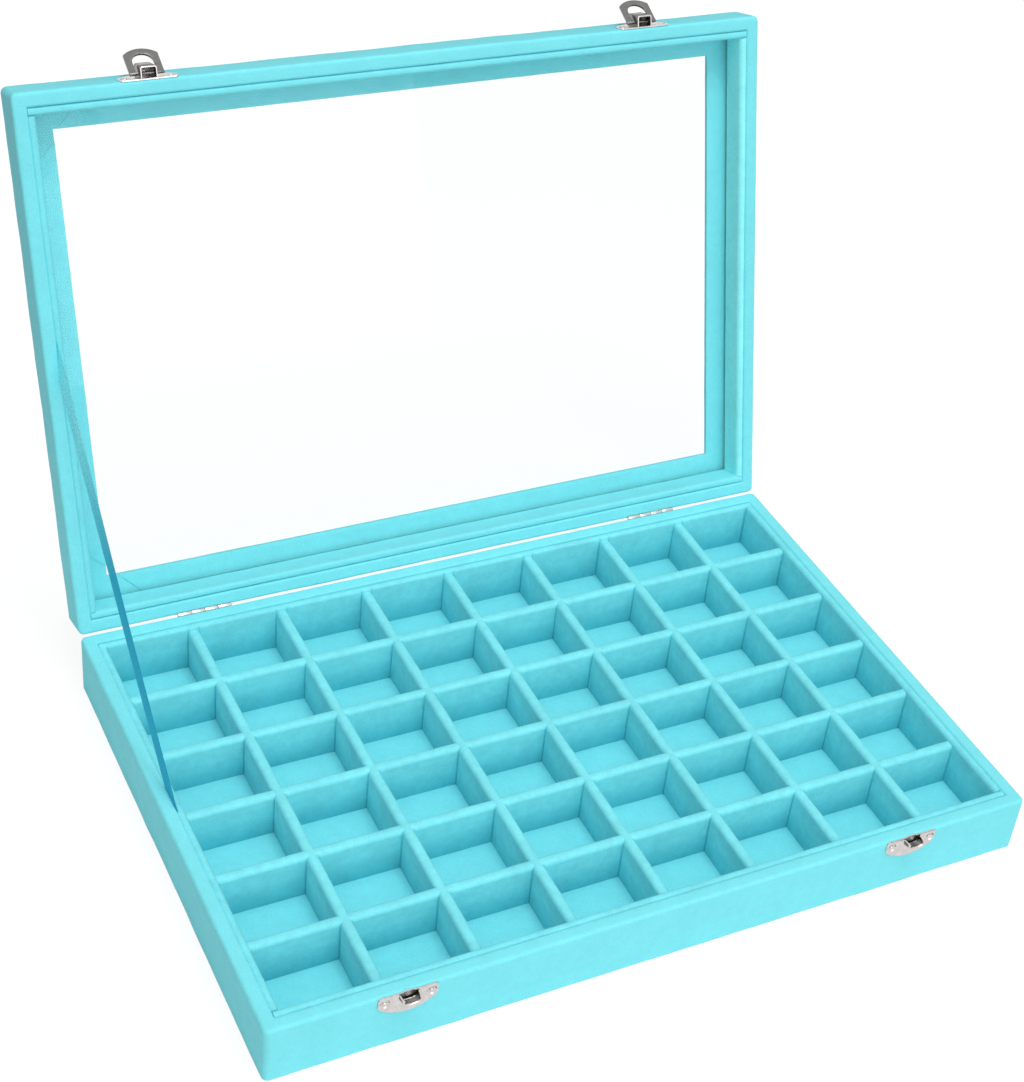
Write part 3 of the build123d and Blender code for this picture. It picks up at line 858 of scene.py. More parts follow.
def divider_tree():
    """Parallel strips with rounded tops, a pitch apart along X, each lying along Y."""
    t = Tree(
        "Cell dividers",
        {
            "Count": "Int",
            "Pitch": "Float",
            "Length": "Float",
            "Thickness": "Float",
            "Height": "Float",
            "Rounding": "Float",
            "Unevenness": "Float",
            "Unevenness Size": "Float",
            "Mesh Step": "Float",
            "Finish": "Material",
        },
    )
    get = t.start.outputs
    half_pitch = t.math("MULTIPLY", get["Pitch"], -0.5)
    first = t.math("MULTIPLY", t.math("SUBTRACT", get["Count"], 1), half_pitch)
    line = t.node(
        "GeometryNodeMeshLine",
        Count=get["Count"],
        Start_Location=t.vector(x=first),
        Offset=t.vector(x=get["Pitch"]),
    )
    half = t.math("MULTIPLY", get["Length"], 0.5)
    run = t.node(
        "GeometryNodeCurvePrimitiveLine",
        Start=t.vector(y=t.math("MULTIPLY", half, -1.0)),
        End=t.vector(y=half),
    )
    count = t.math("DIVIDE", get["Length"], get["Mesh Step"])
    steps = t.node("GeometryNodeResampleCurve", Curve=run.outputs[0], Count=count)
    outline = t.node(
        "GeometryNodeCurvePrimitiveQuadrilateral", Width=get["Thickness"], Height=get["Height"]
    )
    place = t.node("GeometryNodeInputPosition").outputs[0]
    up = t.node("ShaderNodeSeparateXYZ", Vector=place).outputs["Y"]
    radius = t.math("MULTIPLY", t.math("LESS_THAN", up, 0.0), get["Rounding"])
    rounded = t.node(
        "GeometryNodeFilletCurve", {"mode": "POLY"}, Curve=outline.outputs[0], Count=7, Radius=radius
    )
    lifted = t.node(
        "GeometryNodeTransform",
        Geometry=rounded.outputs[0],
        Translation=t.vector(y=t.math("MULTIPLY", get["Height"], -0.5)),
    )
    swept = t.node(
        "GeometryNodeCurveToMesh",
        Curve=steps.outputs[0],
        Profile_Curve=lifted.outputs[0],
        Fill_Caps=True,
    )
    strips = t.node(
        "GeometryNodeInstanceOnPoints", Points=line.outputs[0], Instance=swept.outputs[0]
    )
    solid = t.node("GeometryNodeRealizeInstances", Geometry=strips.outputs[0])
    in_swellings = scaled(t.tree, place, t.math("DIVIDE", 1.0, get["Unevenness Size"]))
    wave = t.node("ShaderNodeTexNoise", Vector=in_swellings, Scale=1.0, Detail=1.0)
    push = t.math("MULTIPLY", t.math("SUBTRACT", wave.outputs[0], 0.5), get["Unevenness"])
    offset = scaled(t.tree, t.node("GeometryNodeInputNormal").outputs[0], push)
    uneven = t.node("GeometryNodeSetPosition", Geometry=solid.outputs[0], Offset=offset)
    t.finish(uneven.outputs[0])
    return t


def nail_tree():
    """One nail on each point of a mesh, all turned the same way with a little tilt."""
    t = Tree("Nails", {"Nail": "Object", "Turn": "Vector", "Tilt": "Float", "Finish": "Material"})
    get = t.start.outputs
    nail = t.node("GeometryNodeObjectInfo", Object=get["Nail"])
    lean = t.node("FunctionNodeRandomValue", {"data_type": "FLOAT_VECTOR"}, Seed=4)
    least = t.math("MULTIPLY", get["Tilt"], -1.0)
    feed(t.tree, lean.inputs[0], t.vector(least, least, least))
    feed(t.tree, lean.inputs[1], t.vector(get["Tilt"], get["Tilt"], get["Tilt"]))
    total = t.node("ShaderNodeVectorMath", {"operation": "ADD"})
    feed(t.tree, total.inputs[0], get["Turn"])
    feed(t.tree, total.inputs[1], lean.outputs[0])
    turned = t.node("FunctionNodeEulerToRotation", Euler=total.outputs[0])
    spread = t.node(
        "GeometryNodeInstanceOnPoints",
        Points=get["Geometry"],
        Instance=nail.outputs["Geometry"],
        Rotation=turned.outputs[0],
    )
    solid = t.node("GeometryNodeRealizeInstances", Geometry=spread.outputs[0])
    t.finish(solid.outputs[0])
    return t


# Covers


class BOX_OT_base_cover(bpy.types.Operator):
    """Velvet over the outside and the rim of the base"""

    bl_idname = "box.base_cover"
    bl_label = "Base Cover"

    def execute(self, context):
        s = sizes()
        r, g = s.rim_rounding, s.groove_rounding
        top = base_top
        outer = [(0.0, s.hem)] + split((0.0, s.hem), (0.0, top - r), s.mesh_step)
        rim = arc(r, top - r, r, 180, 90) + split((r, top), (s.wall - g, top), s.rim_step)
        turn = arc(s.wall - g, top - g, g, 90, 0) + [(s.wall, top - s.groove_depth)]
        back = [
            (s.wall - s.cloth, top - s.groove_depth),
            (s.wall - s.cloth, top - s.cloth),
            (s.cloth, top - s.cloth),
            (s.cloth, s.hem),
        ]
        bm = band(outer + rim + turn + back)
        make_uneven(bm, s.unevenness, s.unevenness_size, 1, groove_freedom)
        piece = new_piece("base_velvet_cover", bm, "velvet", "base")
        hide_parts("base_velvet")
        return {"FINISHED"}


class BOX_OT_lid_cover(bpy.types.Operator):
    """Velvet over the outside, the rim and the window board of the lid"""

    bl_idname = "box.lid_cover"
    bl_label = "Lid Cover"

    def execute(self, context):
        s = sizes()
        r, g, w = s.rim_rounding, s.groove_rounding, s.window_rounding
        low, high = lid_rim, lid_rim + s.lid_height
        under = high - s.window_board
        turn = [(s.wall, low + s.groove_depth)] + arc(s.wall - g, low + g, g, 0, -90)
        rim = split((s.wall - g, low), (r, low), s.rim_step) + arc(r, low + r, r, 270, 180)
        outer = split((0.0, low + r), (0.0, high - r), s.mesh_step) + arc(r, high - r, r, 180, 90)
        border = s.window_border
        top = split((r, high), (border - w, high), s.border_step) + arc(border - w, high - w, w, 90, 0)
        layer = under - s.under_layer
        small = w / 2
        jamb = split((border, high - w), (border, layer + small), s.rim_step)
        inside = arc(border - small, layer + small, small, 0, -90) + [(s.wall + s.liner / 2, layer)]
        back = [
            (s.wall + s.liner / 2, under),
            (border - s.cloth, under + small),
            (border - s.cloth, high - s.cloth),
            (s.cloth, high - s.cloth),
            (s.cloth, low + s.cloth),
            (s.wall - s.cloth, low + s.cloth),
            (s.wall - s.cloth, low + s.groove_depth),
        ]
        bm = band(turn + rim + outer + top + jamb + inside + back)
        make_uneven(bm, s.unevenness, s.unevenness_size, 2, groove_freedom)
        piece = new_piece("lid_velvet_cover", bm, "velvet", "lid", place=swing_open)
        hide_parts("lid_velvet")
        return {"FINISHED"}


def liner_lines():
    """The middle lines of the four liners: the long ones run from end to end."""
    s = sizes()
    outer_x, outer_y = half_length - s.wall - s.liner_fit, half_depth - s.wall - s.liner_fit
    x, y = outer_x - s.liner / 2 + s.side_press, outer_y - s.liner / 2
    inner_y = outer_y - s.liner - s.liner_fit
    return {
        "front": (Vector((-outer_x, -y, 0)), Vector((outer_x, -y, 0))),
        "back": (Vector((outer_x, y, 0)), Vector((-outer_x, y, 0))),
        "left": (Vector((-x, inner_y, 0)), Vector((-x, -inner_y, 0))),
        "right": (Vector((x, -inner_y, 0)), Vector((x, inner_y, 0))),
    }


class BOX_OT_liners(bpy.types.Operator):
    """Velvet-covered strips inside the walls of the base and of the lid"""

    bl_idname = "box.liners"
    bl_label = "Liners"

    def execute(self, context):
        s = sizes()
        for seed, (wall, (start, end)) in enumerate(liner_lines().items(), start=3):
            radii = (s.side_inner, s.side_outer) if wall in SIDES else (s.liner_rounding, s.liner_outer)
            bm = strip(start, end, s.liner, floor_top, base_top - s.liner_drop, *radii)
            make_uneven(bm, s.unevenness / 2, s.unevenness_size, seed)
            # The base's liners take the cells' velvet, with its painted shade.
            piece = new_piece(f"base_{wall}_liner_velvet", bm, "shaded_cell_velvet", "base")
            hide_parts(f"base_{wall}_liner")
            tip = lid_rim + s.liner_drop
            bm = strip(start, end, s.liner, lid_rim + s.pane_low, tip, *radii)
            make_uneven(bm, s.unevenness / 2, s.unevenness_size, seed + 10)
            # Painted light: the lid's right liner gets the lighter velvet.
            kind = "painted_light_velvet" if wall == "right" else "velvet"
            piece = new_piece(f"lid_{wall}_liner_velvet", bm, kind, "lid", place=swing_open)
            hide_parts(f"lid_{wall}_liner")
        return {"FINISHED"}


class BOX_OT_dividers(bpy.types.Operator):
    """Cell dividers: seven from front to back and five from left to right"""

    bl_idname = "box.dividers"
    bl_label = "Dividers"

    def execute(self, context):
        s = sizes()
        half_x, half_y = lined_half()
        tree = divider_tree()
        pitch_x, pitch_y = cell_pitches()
        families = {
            "cross_divider": (s.columns, pitch_x, half_y, 0.0, 0.0),
            "long_divider": (s.rows, pitch_y, half_x, s.divider_step, 90.0),
        }
        for name, (cells, pitch, half_run, drop, turn) in families.items():
            mesh = tree.apply(
                bpy.data.meshes.new("empty"),
                {
                    "Count": cells - 1,
                    "Pitch": pitch,
                    "Length": 2 * (half_run + s.divider_press),
                    "Thickness": s.divider,
                    "Height": divider_top - drop - floor_top,
                    "Rounding": s.divider_rounding,
                    "Unevenness": 2 * s.unevenness,
                    "Unevenness Size": s.unevenness_size,
                    "Mesh Step": s.mesh_step / 2,
                    # The cells' velvet, with its painted shade low down and in the seams.
                    "Finish": finish_of("shaded_cell_velvet"),
                },
            )
            place = Matrix.Translation((0, 0, floor_top)) @ Matrix.Rotation(math.radians(turn), 4, "Z")
            mesh.transform(place)
            piece = finish_piece(f"{name}_velvet", mesh, "shaded_cell_velvet", "base")
            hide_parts(*[f"{name}_{i}" for i in range(1, cells)])
        return {"FINISHED"}


class BOX_OT_floor(bpy.types.Operator):
    """Padded floor that swells a little in each cell"""

    bl_idname = "box.floor"
    bl_label = "Cell Floor"

    def execute(self, context):
        s = sizes()
        pad_low, pad_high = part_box("floor_pad")
        pitch_x, pitch_y = cell_pitches()
        cell_steps_x, cell_steps_y = 22, 20
        steps_x, steps_y = s.columns * cell_steps_x, s.rows * cell_steps_y
        fullness = 8
        bm = bmesh.new()
        rows = []
        for j in range(steps_y + 1):
            y = pad_low.y + (pad_high.y - pad_low.y) * j / steps_y
            row = []
            for i in range(steps_x + 1):
                x = pad_low.x + (pad_high.x - pad_low.x) * i / steps_x
                u = 2 * abs((x / pitch_x + s.columns / 2) % 1 - 0.5) * pitch_x / (pitch_x - s.divider)
                v = 2 * abs((y / pitch_y + s.rows / 2) % 1 - 0.5) * pitch_y / (pitch_y - s.divider)
                swell = max(0, 1 - u**fullness) * max(0, 1 - v**fullness)
                row.append(bm.verts.new((x, y, pad_high.z - s.floor_dip + s.floor_puff * swell)))
            rows.append(row)
        skin(bm, rows, closed=False)
        top = list(bm.verts)
        rim = [e for e in bm.edges if e.is_boundary]
        walls = bmesh.ops.extrude_edge_only(bm, edges=rim)["geom"]
        for element in walls:
            if isinstance(element, bmesh.types.BMVert):
                element.co.z = pad_low.z
        lower = [e for e in bm.edges if e.is_boundary]
        bmesh.ops.holes_fill(bm, edges=lower, sides=len(lower))
        swelling = 0.6 * s.unevenness_size
        for vertex in top:
            vertex.co.z += noise.noise(vertex.co / swelling) * s.unevenness / 2
        piece = new_piece("floor_pad_velvet", bm, "velvet", "base")
        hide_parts("floor_pad")
        return {"FINISHED"}


class BOX_OT_flaps(bpy.types.Operator):
    """Flaps of velvet turned in round the window, with slanted ends"""

    bl_idname = "box.flaps"
    bl_label = "Window Flaps"

    def execute(self, context):
        s = sizes()
        window_x, window_y = half_length - s.window_border, half_depth - s.window_border
        seat = lid_rim + s.lid_height - s.window_board - s.under_layer
        bm = bmesh.new()
        for k in range(4):
            across, out = (window_x, window_y) if k % 2 == 0 else (window_y, window_x)
            setback = s.front_setback if k == 2 else s.flap_setback
            self.add_flap(bm, across - setback, out, seat, k)
        make_uneven(bm, s.unevenness / 3, s.unevenness_size / 2, 30)
        piece = new_piece("window_flaps_velvet", bm, "velvet", "lid", place=swing_open)
        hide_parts("window_flaps")
        return {"FINISHED"}

    def add_flap(self, bm, near, out, seat, turn):
        """One flap: a thin slab that is thinner towards the window and at its slanted ends."""
        s = sizes()
        across_steps, along_steps = 8, round(2 * near / s.mesh_step)
        least_inside, least_end = 0.05, 0.55
        rotate = Matrix.Rotation(math.radians(90 * turn), 3, "Z")
        sheets = []
        for thick in (0.0, s.flap):
            rows = []
            for j in range(across_steps + 1):
                t = j / across_steps
                half = near - s.flap_width * t
                y = out + s.flap_width * t
                fade = min(1.0, least_inside + t * s.flap_width / s.flap_edge)
                row = []
                for i in range(along_steps + 1):
                    x = half * (2 * i / along_steps - 1)
                    end = min(1.0, least_end + (half - abs(x)) / s.flap_edge)
                    z = seat - thick * math.sqrt(fade) * math.sqrt(end)
                    row.append(bm.verts.new(rotate @ Vector((x, y, z))))
                rows.append(row)
            skin(bm, rows, closed=False)
            sheets.append(rows)
        join_edges(bm, *sheets)


# Ribbon


class BOX_OT_ribbon(bpy.types.Operator):
    """Satin ribbon that holds the lid open"""

    bl_idname = "box.ribbon"
    bl_label = "Ribbon Stay"

    bow: length("Bow", "How far the ribbon hangs to the outside of its line", 0.9 * MM)
    low_turn: tilt("Low turn", "Turn of the ribbon near the base", 3.0)
    high_turn: tilt("High turn", "Turn of the ribbon near the lid", 13.0)
    width: length("Width", "Width of the ribbon", 9.5 * MM)
    thickness: length("Thickness", "Thickness of the ribbon", 0.4 * MM)

    def execute(self, context):
        low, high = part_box("ribbon_stay")
        middle_x = (low.x + high.x) / 2
        run = Vector((0, high.y - low.y, high.z - low.z))
        inset = self.width / 2 * run.z / run.length
        rise = self.width / 2 * run.y / run.length
        start = Vector((middle_x, low.y + inset, low.z + rise))
        end = Vector((middle_x, high.y - inset, high.z - rise))
        along = (end - start).normalized()
        across = Vector((0, -along.z, along.y))
        steps, around = 60, 16
        flatness, end_share = 0.35, 1 / 12
        half, thin = self.width / 2, self.thickness / 2
        section = []
        for i in range(around):
            side, front = math.cos(2 * math.pi * i / around), math.sin(2 * math.pi * i / around)
            section.append((half * side, thin * math.copysign(abs(front) ** flatness, front)))
        bm = bmesh.new()
        rows = []
        for i in range(steps + 1):
            t = i / steps
            hang = self.bow * math.sqrt(4 * t * (1 - t))
            middle = start.lerp(end, t) - Vector((hang, 0, 0))
            turn = self.low_turn + (self.high_turn - self.low_turn) * t**2
            turn *= min(1.0, t / end_share, (1 - t) / end_share)
            wide = across * math.cos(turn) + Vector((math.sin(turn), 0, 0))
            thick = along.cross(wide)
            rows.append([bm.verts.new(middle + wide * u + thick * v) for u, v in section])
        weave = bm.loops.layers.uv.new("weave")
        for index, face in enumerate(tube(bm, rows)):
            j, i = divmod(index, around)
            corners = ((i, j), (i + 1, j), (i + 1, j + 1), (i, j + 1))
            for loop, (across_count, along_count) in zip(face.loops, corners):
                loop[weave].uv = (across_count / around, along_count / steps)
        piece = new_piece("ribbon_stay_satin", bm, "satin", None)
        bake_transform(piece, "base", "lid", start=start, end=end)
        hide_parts("ribbon_stay")
        return {"FINISHED"}


# Metal


class BOX_OT_hinges(bpy.types.Operator):
    """Butt hinges: leaves with knuckles, and their pins"""

    bl_idname = "box.hinges"
    bl_label = "Hinges"

    def execute(self, context):
        for side in SIDES:
            for part in ("hinge_base_leaf", "hinge_lid_leaf", "hinge_pin"):
                softened_copy(f"{side}_{part}", "nickel")
        return {"FINISHED"}


def spaced(low, high, count, rounding):
    """Places between two ends, close together near both of them."""
    near = [rounding * part for part in (0.0, 0.12, 0.4, 1.0)]
    inner, reach = low + rounding, high - low - 2 * rounding
    middle = [inner + reach * i / count for i in range(1, count)]
    return [low + step for step in near] + middle + [high - step for step in reversed(near)]


def nail_distance(x, y):
    """How far a point of a plate is from the nearer nail."""
    s = latch_sizes()
    return math.hypot(abs(x) - s.nail_across, y - s.nail_up)


def bowed_plate(width, tab, mouth, hollow=(0.0, 0.0)):
    """A pressed plate with a dish round each nail: X across, Y from the straight edge to the
    bow, Z out. The dishes' walls on the straight edge's side are marked as painted shade. With a
    mouth, the sheet behind the scoop is cut away; it and the rest of the scoop's hollow are marked
    as painted shade, as is the straight edge."""
    s = latch_sizes()
    half, rise = width / 2, s.middle - s.end
    bow_radius = (half**2 + rise**2) / (2 * rise)
    cut_height, cut_limit = s.metal / 6, s.metal / 5
    edge_faces = 2
    bm = bmesh.new()
    front, back = [], []
    count_up = round(s.middle / s.step)
    for x in spaced(-half, half, round(width / s.step), s.edge):
        over = max(0.0, abs(x) - half + s.corner)
        cut = s.corner - math.sqrt(max(0.0, s.corner**2 - over**2))
        low = cut - tab * min(1.0, max(0.0, (s.tab_half - abs(x)) / s.tab_slope))
        high = s.middle - bow_radius + math.sqrt(bow_radius**2 - x**2) - cut
        front.append([])
        back.append([])
        for y in spaced(low, high, count_up, s.edge):
            near = min(y - low, high - y, half - abs(x), s.edge)
            out = s.metal - s.edge + math.sqrt(max(0.0, s.edge**2 - (s.edge - near) ** 2))
            out -= s.dish_depth * min(1.0, max(0.0, (s.dish - nail_distance(x, y)) / s.dish_wall))
            if mouth and (x / mouth[0]) ** 4 + ((y - mouth[1]) / mouth[2]) ** 4 < 1:
                out = cut_height
            front[-1].append(bm.verts.new((x, y, out)))
            back[-1].append(bm.verts.new((x, y, 0)))
    for index, face in enumerate(skin(bm, front, closed=False)):
        middle = face.calc_center_median()
        in_wall = 0 < s.dish - nail_distance(middle.x, middle.y) < s.dish_wall
        # Painted shade: the cut behind the scoop, the dishes' walls on the straight edge's side, the
        # straight edge and the rest of the scoop's hollow get the darker steel.
        marked = middle.z < cut_limit or (in_wall and middle.y < s.nail_up)
        marked = marked or (mouth and index % (len(front[0]) - 1) < edge_faces)
        if abs(middle.x) < hollow[0]:
            oval = hollow[1] * math.sqrt(1 - (middle.x / hollow[0]) ** 2)
            marked = marked or middle.y < s.scoop_top + oval
        face.material_index = int(bool(marked))
    skin(bm, back, closed=False)
    join_edges(bm, front, back)
    return bm


def add_rows(bm, rows, in_painted_shade):
    """Faces between rows of points; the first row follows the last, and the ends are closed.
    The test says from a face's row and its turn to the side whether it is marked with the darker steel as
    painted shade."""
    rings = [[bm.verts.new(point) for point in row] for row in rows]
    for index, face in enumerate(skin(bm, rings + rings[:1], closed=False)):
        face.normal_update()
        face.material_index = int(in_painted_shade(index // (len(rows[0]) - 1), abs(face.normal.x)))
    bm.faces.new([ring[0] for ring in rings])
    bm.faces.new([ring[-1] for ring in reversed(rings)])


def scoop_rim(half_width, depth):
    """The scoop's line: down one side, round the half oval and up the other side."""
    s = latch_sizes()
    side_steps, oval_steps = 3, 20
    reach = s.scoop_top - s.scoop_start
    sides = [s.scoop_start + reach * i / side_steps for i in range(side_steps)]
    oval = [math.pi * i / oval_steps for i in range(oval_steps + 1)]
    line = [(-half_width, y) for y in sides]
    line += [(-half_width * math.cos(a), s.scoop_top + depth * math.sin(a)) for a in oval]
    return line + [(half_width, y) for y in reversed(sides)]


def add_scoop(bm, foot, waist, lip, waist_out):
    """A scoop with a rolled lip on a plate: foot, waist and lip are half widths and depths.
    The crease under its lip and its side walls are marked with the darker steel as painted shade."""
    s = latch_sizes()

    def at(out, grow):
        """The line at a distance from the plate, grown or shrunk by a distance."""
        if out < waist_out:
            ends, part = (foot, waist), math.sin(math.pi / 2 * out / waist_out)
        else:
            ends, part = (waist, lip), (out - waist_out) / (s.scoop_out - waist_out)
        half_width, depth = (a + (b - a) * part for a, b in zip(*ends))
        line = scoop_rim(half_width + grow, depth + grow)
        return [(x, y, s.metal + out) for x, y in line]

    roll_out, roll_in = s.scoop_out - s.scoop_roll, -s.scoop_wall / 2
    foot_steps, wall_steps = 5, 3
    outer = [at(waist_out * i / foot_steps, 0.0) for i in range(foot_steps + 1)]
    wall = roll_out - s.scoop_roll - waist_out
    outer += [at(waist_out + wall * i / wall_steps, 0.0) for i in range(1, wall_steps + 1)]
    roll = []
    for grow, out in arc(roll_in, 0.0, s.scoop_roll, -30, 210, 8):
        roll.append([(x, y, z + out) for x, y, z in at(roll_out, grow)])
    inner = [at(waist_out * part, -s.scoop_wall) for part in (3.2, 1.6, 0.8, 0.0)]
    crease = len(outer) - 1
    sideways = 0.8

    def in_painted_shade(row, side):
        """Whether a face is in the crease or on a side wall, where shade is painted."""
        return row == crease or (row < crease and side > sideways)

    add_rows(bm, outer + roll + inner, in_painted_shade)


def add_bracket(bm):
    """A tunnel of bent sheet on a plate, marked with the darker steel as painted shade but for its rounded
    edges. A tongue closes it at the far end."""
    s = latch_sizes()
    bend_steps = 5

    def arch(y, inset):
        """The outer line and the inner line of the tunnel's section, back to back."""
        lines = []
        for half, top, corner in (
            (s.bracket_half - inset, s.bracket_height - inset, s.bracket_corner),
            (
                s.bracket_half - s.bracket_wall + inset,
                s.bracket_height - s.bracket_wall + inset,
                s.bracket_corner - s.bracket_wall / 2,
            ),
        ):
            left = arc(corner - half, top - corner, corner, 180, 90, bend_steps)
            right = arc(half - corner, top - corner, corner, 90, 0, bend_steps)
            lines.append([(-half, -s.metal / 2)] + left + right + [(half, -s.metal / 2)])
        outer, inner = lines
        return [(x, y, s.metal + z) for x, z in outer + inner[::-1]]

    low, high = s.bracket_start, s.bracket_start + s.bracket_length
    soft = 0.3 * s.bracket_wall
    places = ((low, soft), (low + 0.3 * soft, 0.4 * soft), (low + soft, 0.0))
    mirrored = tuple((low + high - y, inset) for y, inset in reversed(places))
    rings = [[bm.verts.new(point) for point in arch(y, inset)] for y, inset in places + mirrored]
    around = len(rings[0])
    half_way = around // 2
    for index, face in enumerate(skin(bm, rings)):
        row, i = divmod(index, around)
        # Painted shade: all but the rounded edges get the darker steel.
        face.material_index = int(row == len(places) - 1 or half_way <= i < around - 1)
    for ring in (rings[0], rings[-1]):
        for i in range(half_way - 1):
            bm.faces.new((ring[i], ring[i + 1], ring[-2 - i], ring[-1 - i]))
    tongue = [arch(high - part * s.bracket_wall, 0.0)[half_way:] for part in (1.4, 0.6)]
    tube(bm, [[bm.verts.new(point) for point in line] for line in tongue])


# Turns from a plate's own directions to those of the front of the base and of the closed lid
DOWN_THE_FRONT = Matrix(((-1, 0, 0, 0), (0, 0, -1, 0), (0, -1, 0, 0), (0, 0, 0, 1)))
UP_THE_FRONT = Matrix(((1, 0, 0, 0), (0, 0, -1, 0), (0, 1, 0, 0), (0, 0, 0, 1)))


def plate_place(node):
    """Where a catch plate or a hasp plate is: its middle, its width and its straight edge."""
    low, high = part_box(node)
    closed = swing_open.inverted()
    middle = (low.x + high.x) / 2
    if "catch" in node:
        edge = Vector((middle, -half_depth, high.z - latch_sizes().tab))
        return Matrix.Translation(edge) @ DOWN_THE_FRONT, high.x - low.x
    vertices = frame["nodes"][node].data.vertices
    edge_z = min((closed @ vertex.co).z for vertex in vertices)
    edge = Vector((middle, -half_depth, edge_z))
    return swing_open @ Matrix.Translation(edge) @ UP_THE_FRONT, high.x - low.x


class BOX_OT_latches(bpy.types.Operator):
    """Catch plates with their scoops, hasp plates with their tunnels, and the loops"""

    bl_idname = "box.latches"
    bl_label = "Latches"

    foot: reaches("Foot", "Half width and depth of the scoop at its plate", (4.8 * MM, 5.0 * MM))
    waist: reaches("Waist", "The same at its waist", (4.2 * MM, 2.7 * MM))
    lip: reaches("Lip", "The same at its lip", (3.9 * MM, 1.6 * MM))
    waist_out: length("Waist reach", "From the plate to the scoop's waist", 0.7 * MM)

    def execute(self, context):
        s = latch_sizes()
        for side in SIDES:
            node = f"{side}_catch_plate"
            place, width = plate_place(node)
            mouth_half, mouth_depth = (reach - s.scoop_wall for reach in self.waist)
            mouth = (mouth_half, s.scoop_top + s.mouth_drop, mouth_depth)
            hollow = [reach - s.scoop_wall for reach in self.foot]
            bm = bowed_plate(width, s.tab, mouth, hollow)
            add_scoop(bm, self.foot, self.waist, self.lip, self.waist_out)
            # The marked faces of the plates get the darker steel as painted shade.
            piece = new_piece(f"{node}_pressed", bm, "nickel", "base", place, "steel")
            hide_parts(node)
            node = f"{side}_hasp_plate"
            place, width = plate_place(node)
            bm = bowed_plate(width, 0.0, None)
            add_bracket(bm)
            piece = new_piece(f"{node}_pressed", bm, "nickel", "lid", place, "steel")
            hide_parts(node)
            softened_copy(f"{side}_hasp_loop", "steel")
        return {"FINISHED"}


class BOX_OT_nails(bpy.types.Operator):
    """Round-headed nails, set in the plates' dishes and on the hinge leaves"""

    bl_idname = "box.nails"
    bl_label = "Nails"

    def execute(self, context):
        s = latch_sizes()
        nail = self.make_nail()
        tree = nail_tree()
        seat = s.metal - s.dish_depth
        for family, body, swing in (("catch", "base", None), ("hasp", "lid", swing_open)):
            points = []
            for side in SIDES:
                place, _ = plate_place(f"{side}_{family}_plate")
                if swing:
                    place = swing.inverted() @ place
                for x in (-s.nail_across, s.nail_across):
                    points.append(place @ Vector((x, s.nail_up, seat)))
            self.set_nails(tree, nail, f"{family}_nails", points, body, 90, swing)
        for body, way, swing in (("base", -1, None), ("lid", 1, swing_open)):
            points = []
            for side in SIDES:
                low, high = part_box(f"{side}_hinge_{body}_leaf")
                for x in (-s.leaf_nail_across, s.leaf_nail_across):
                    point = Vector(((low.x + high.x) / 2 + x, half_depth, hinge_point.z))
                    points.append(point + Vector((0, s.leaf_metal, way * s.leaf_nail_up)))
            self.set_nails(tree, nail, f"hinge_{body}_nails", points, body, -90, swing)
        bpy.data.objects.remove(nail)
        return {"FINISHED"}

    def make_nail(self):
        """A nail that stands upright with the underside of its head on the origin."""
        s = latch_sizes()
        around, head_steps, rim_share, point_share = 20, 6, 0.12, 0.3
        rim = rim_share * s.nail_rise
        head = [(s.nail_head, 0.0), (s.nail_head, rim)]
        for i in range(1, head_steps):
            a = math.pi / 2 * i / head_steps
            head.append((s.nail_head * math.cos(a), rim + (s.nail_rise - rim) * math.sin(a)))
        point = [(point_share * s.nail_shank, -s.nail_length)]
        shank = [(s.nail_shank, s.nail_point - s.nail_length), (s.nail_shank, 0.0)]
        turns = [2 * math.pi * i / around for i in range(around)]
        bm = bmesh.new()
        rings = []
        for r, z in point + shank + head:
            rings.append([bm.verts.new((r * math.cos(a), r * math.sin(a), z)) for a in turns])
        skin(bm, rings)
        for ring, z in ((rings[0], -s.nail_length), (rings[-1], s.nail_rise)):
            tip = bm.verts.new((0, 0, z))
            for i in range(around):
                bm.faces.new((ring[i], ring[(i + 1) % around], tip))
        bmesh.ops.recalc_face_normals(bm, faces=bm.faces)
        return add_object("nail", mesh_from(bm, "nail"))

    def set_nails(self, tree, nail, node, points, body, turn, swing):
        """One group of nails, given by the undersides of their heads with the lid closed."""
        base = bpy.data.meshes.new("points")
        base.from_pydata(points, [], [])
        values = {
            "Nail": nail,
            "Turn": (math.radians(turn), 0.0, 0.0),
            "Tilt": latch_sizes().nail_tilt,
            "Finish": finish_of("nickel"),
        }
        mesh = tree.apply(base, values)
        if swing:
            mesh.transform(swing)
        piece = finish_piece(f"{node}_set", mesh, "nickel", body)
        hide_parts(node)


class BOX_OT_plain_nodes(bpy.types.Operator):
    """Finishes of the boards, the felt and the pane"""

    bl_idname = "box.plain_nodes"
    bl_label = "Boards, Felt and Pane"

    def execute(self, context):
        boards = [f"{body}_{wall}_board" for body in ("base", "lid") for wall in WALLS]
        for node in boards + ["bottom_board", "window_board"]:
            give_finish(node, "board")
        give_finish("base_felt", "felt")
        give_finish("glass_pane", "pane")
        pane = frame["nodes"]["glass_pane"]
        pane.visible_shadow = pane.visible_diffuse = False
        return {"FINISHED"}


# Stage


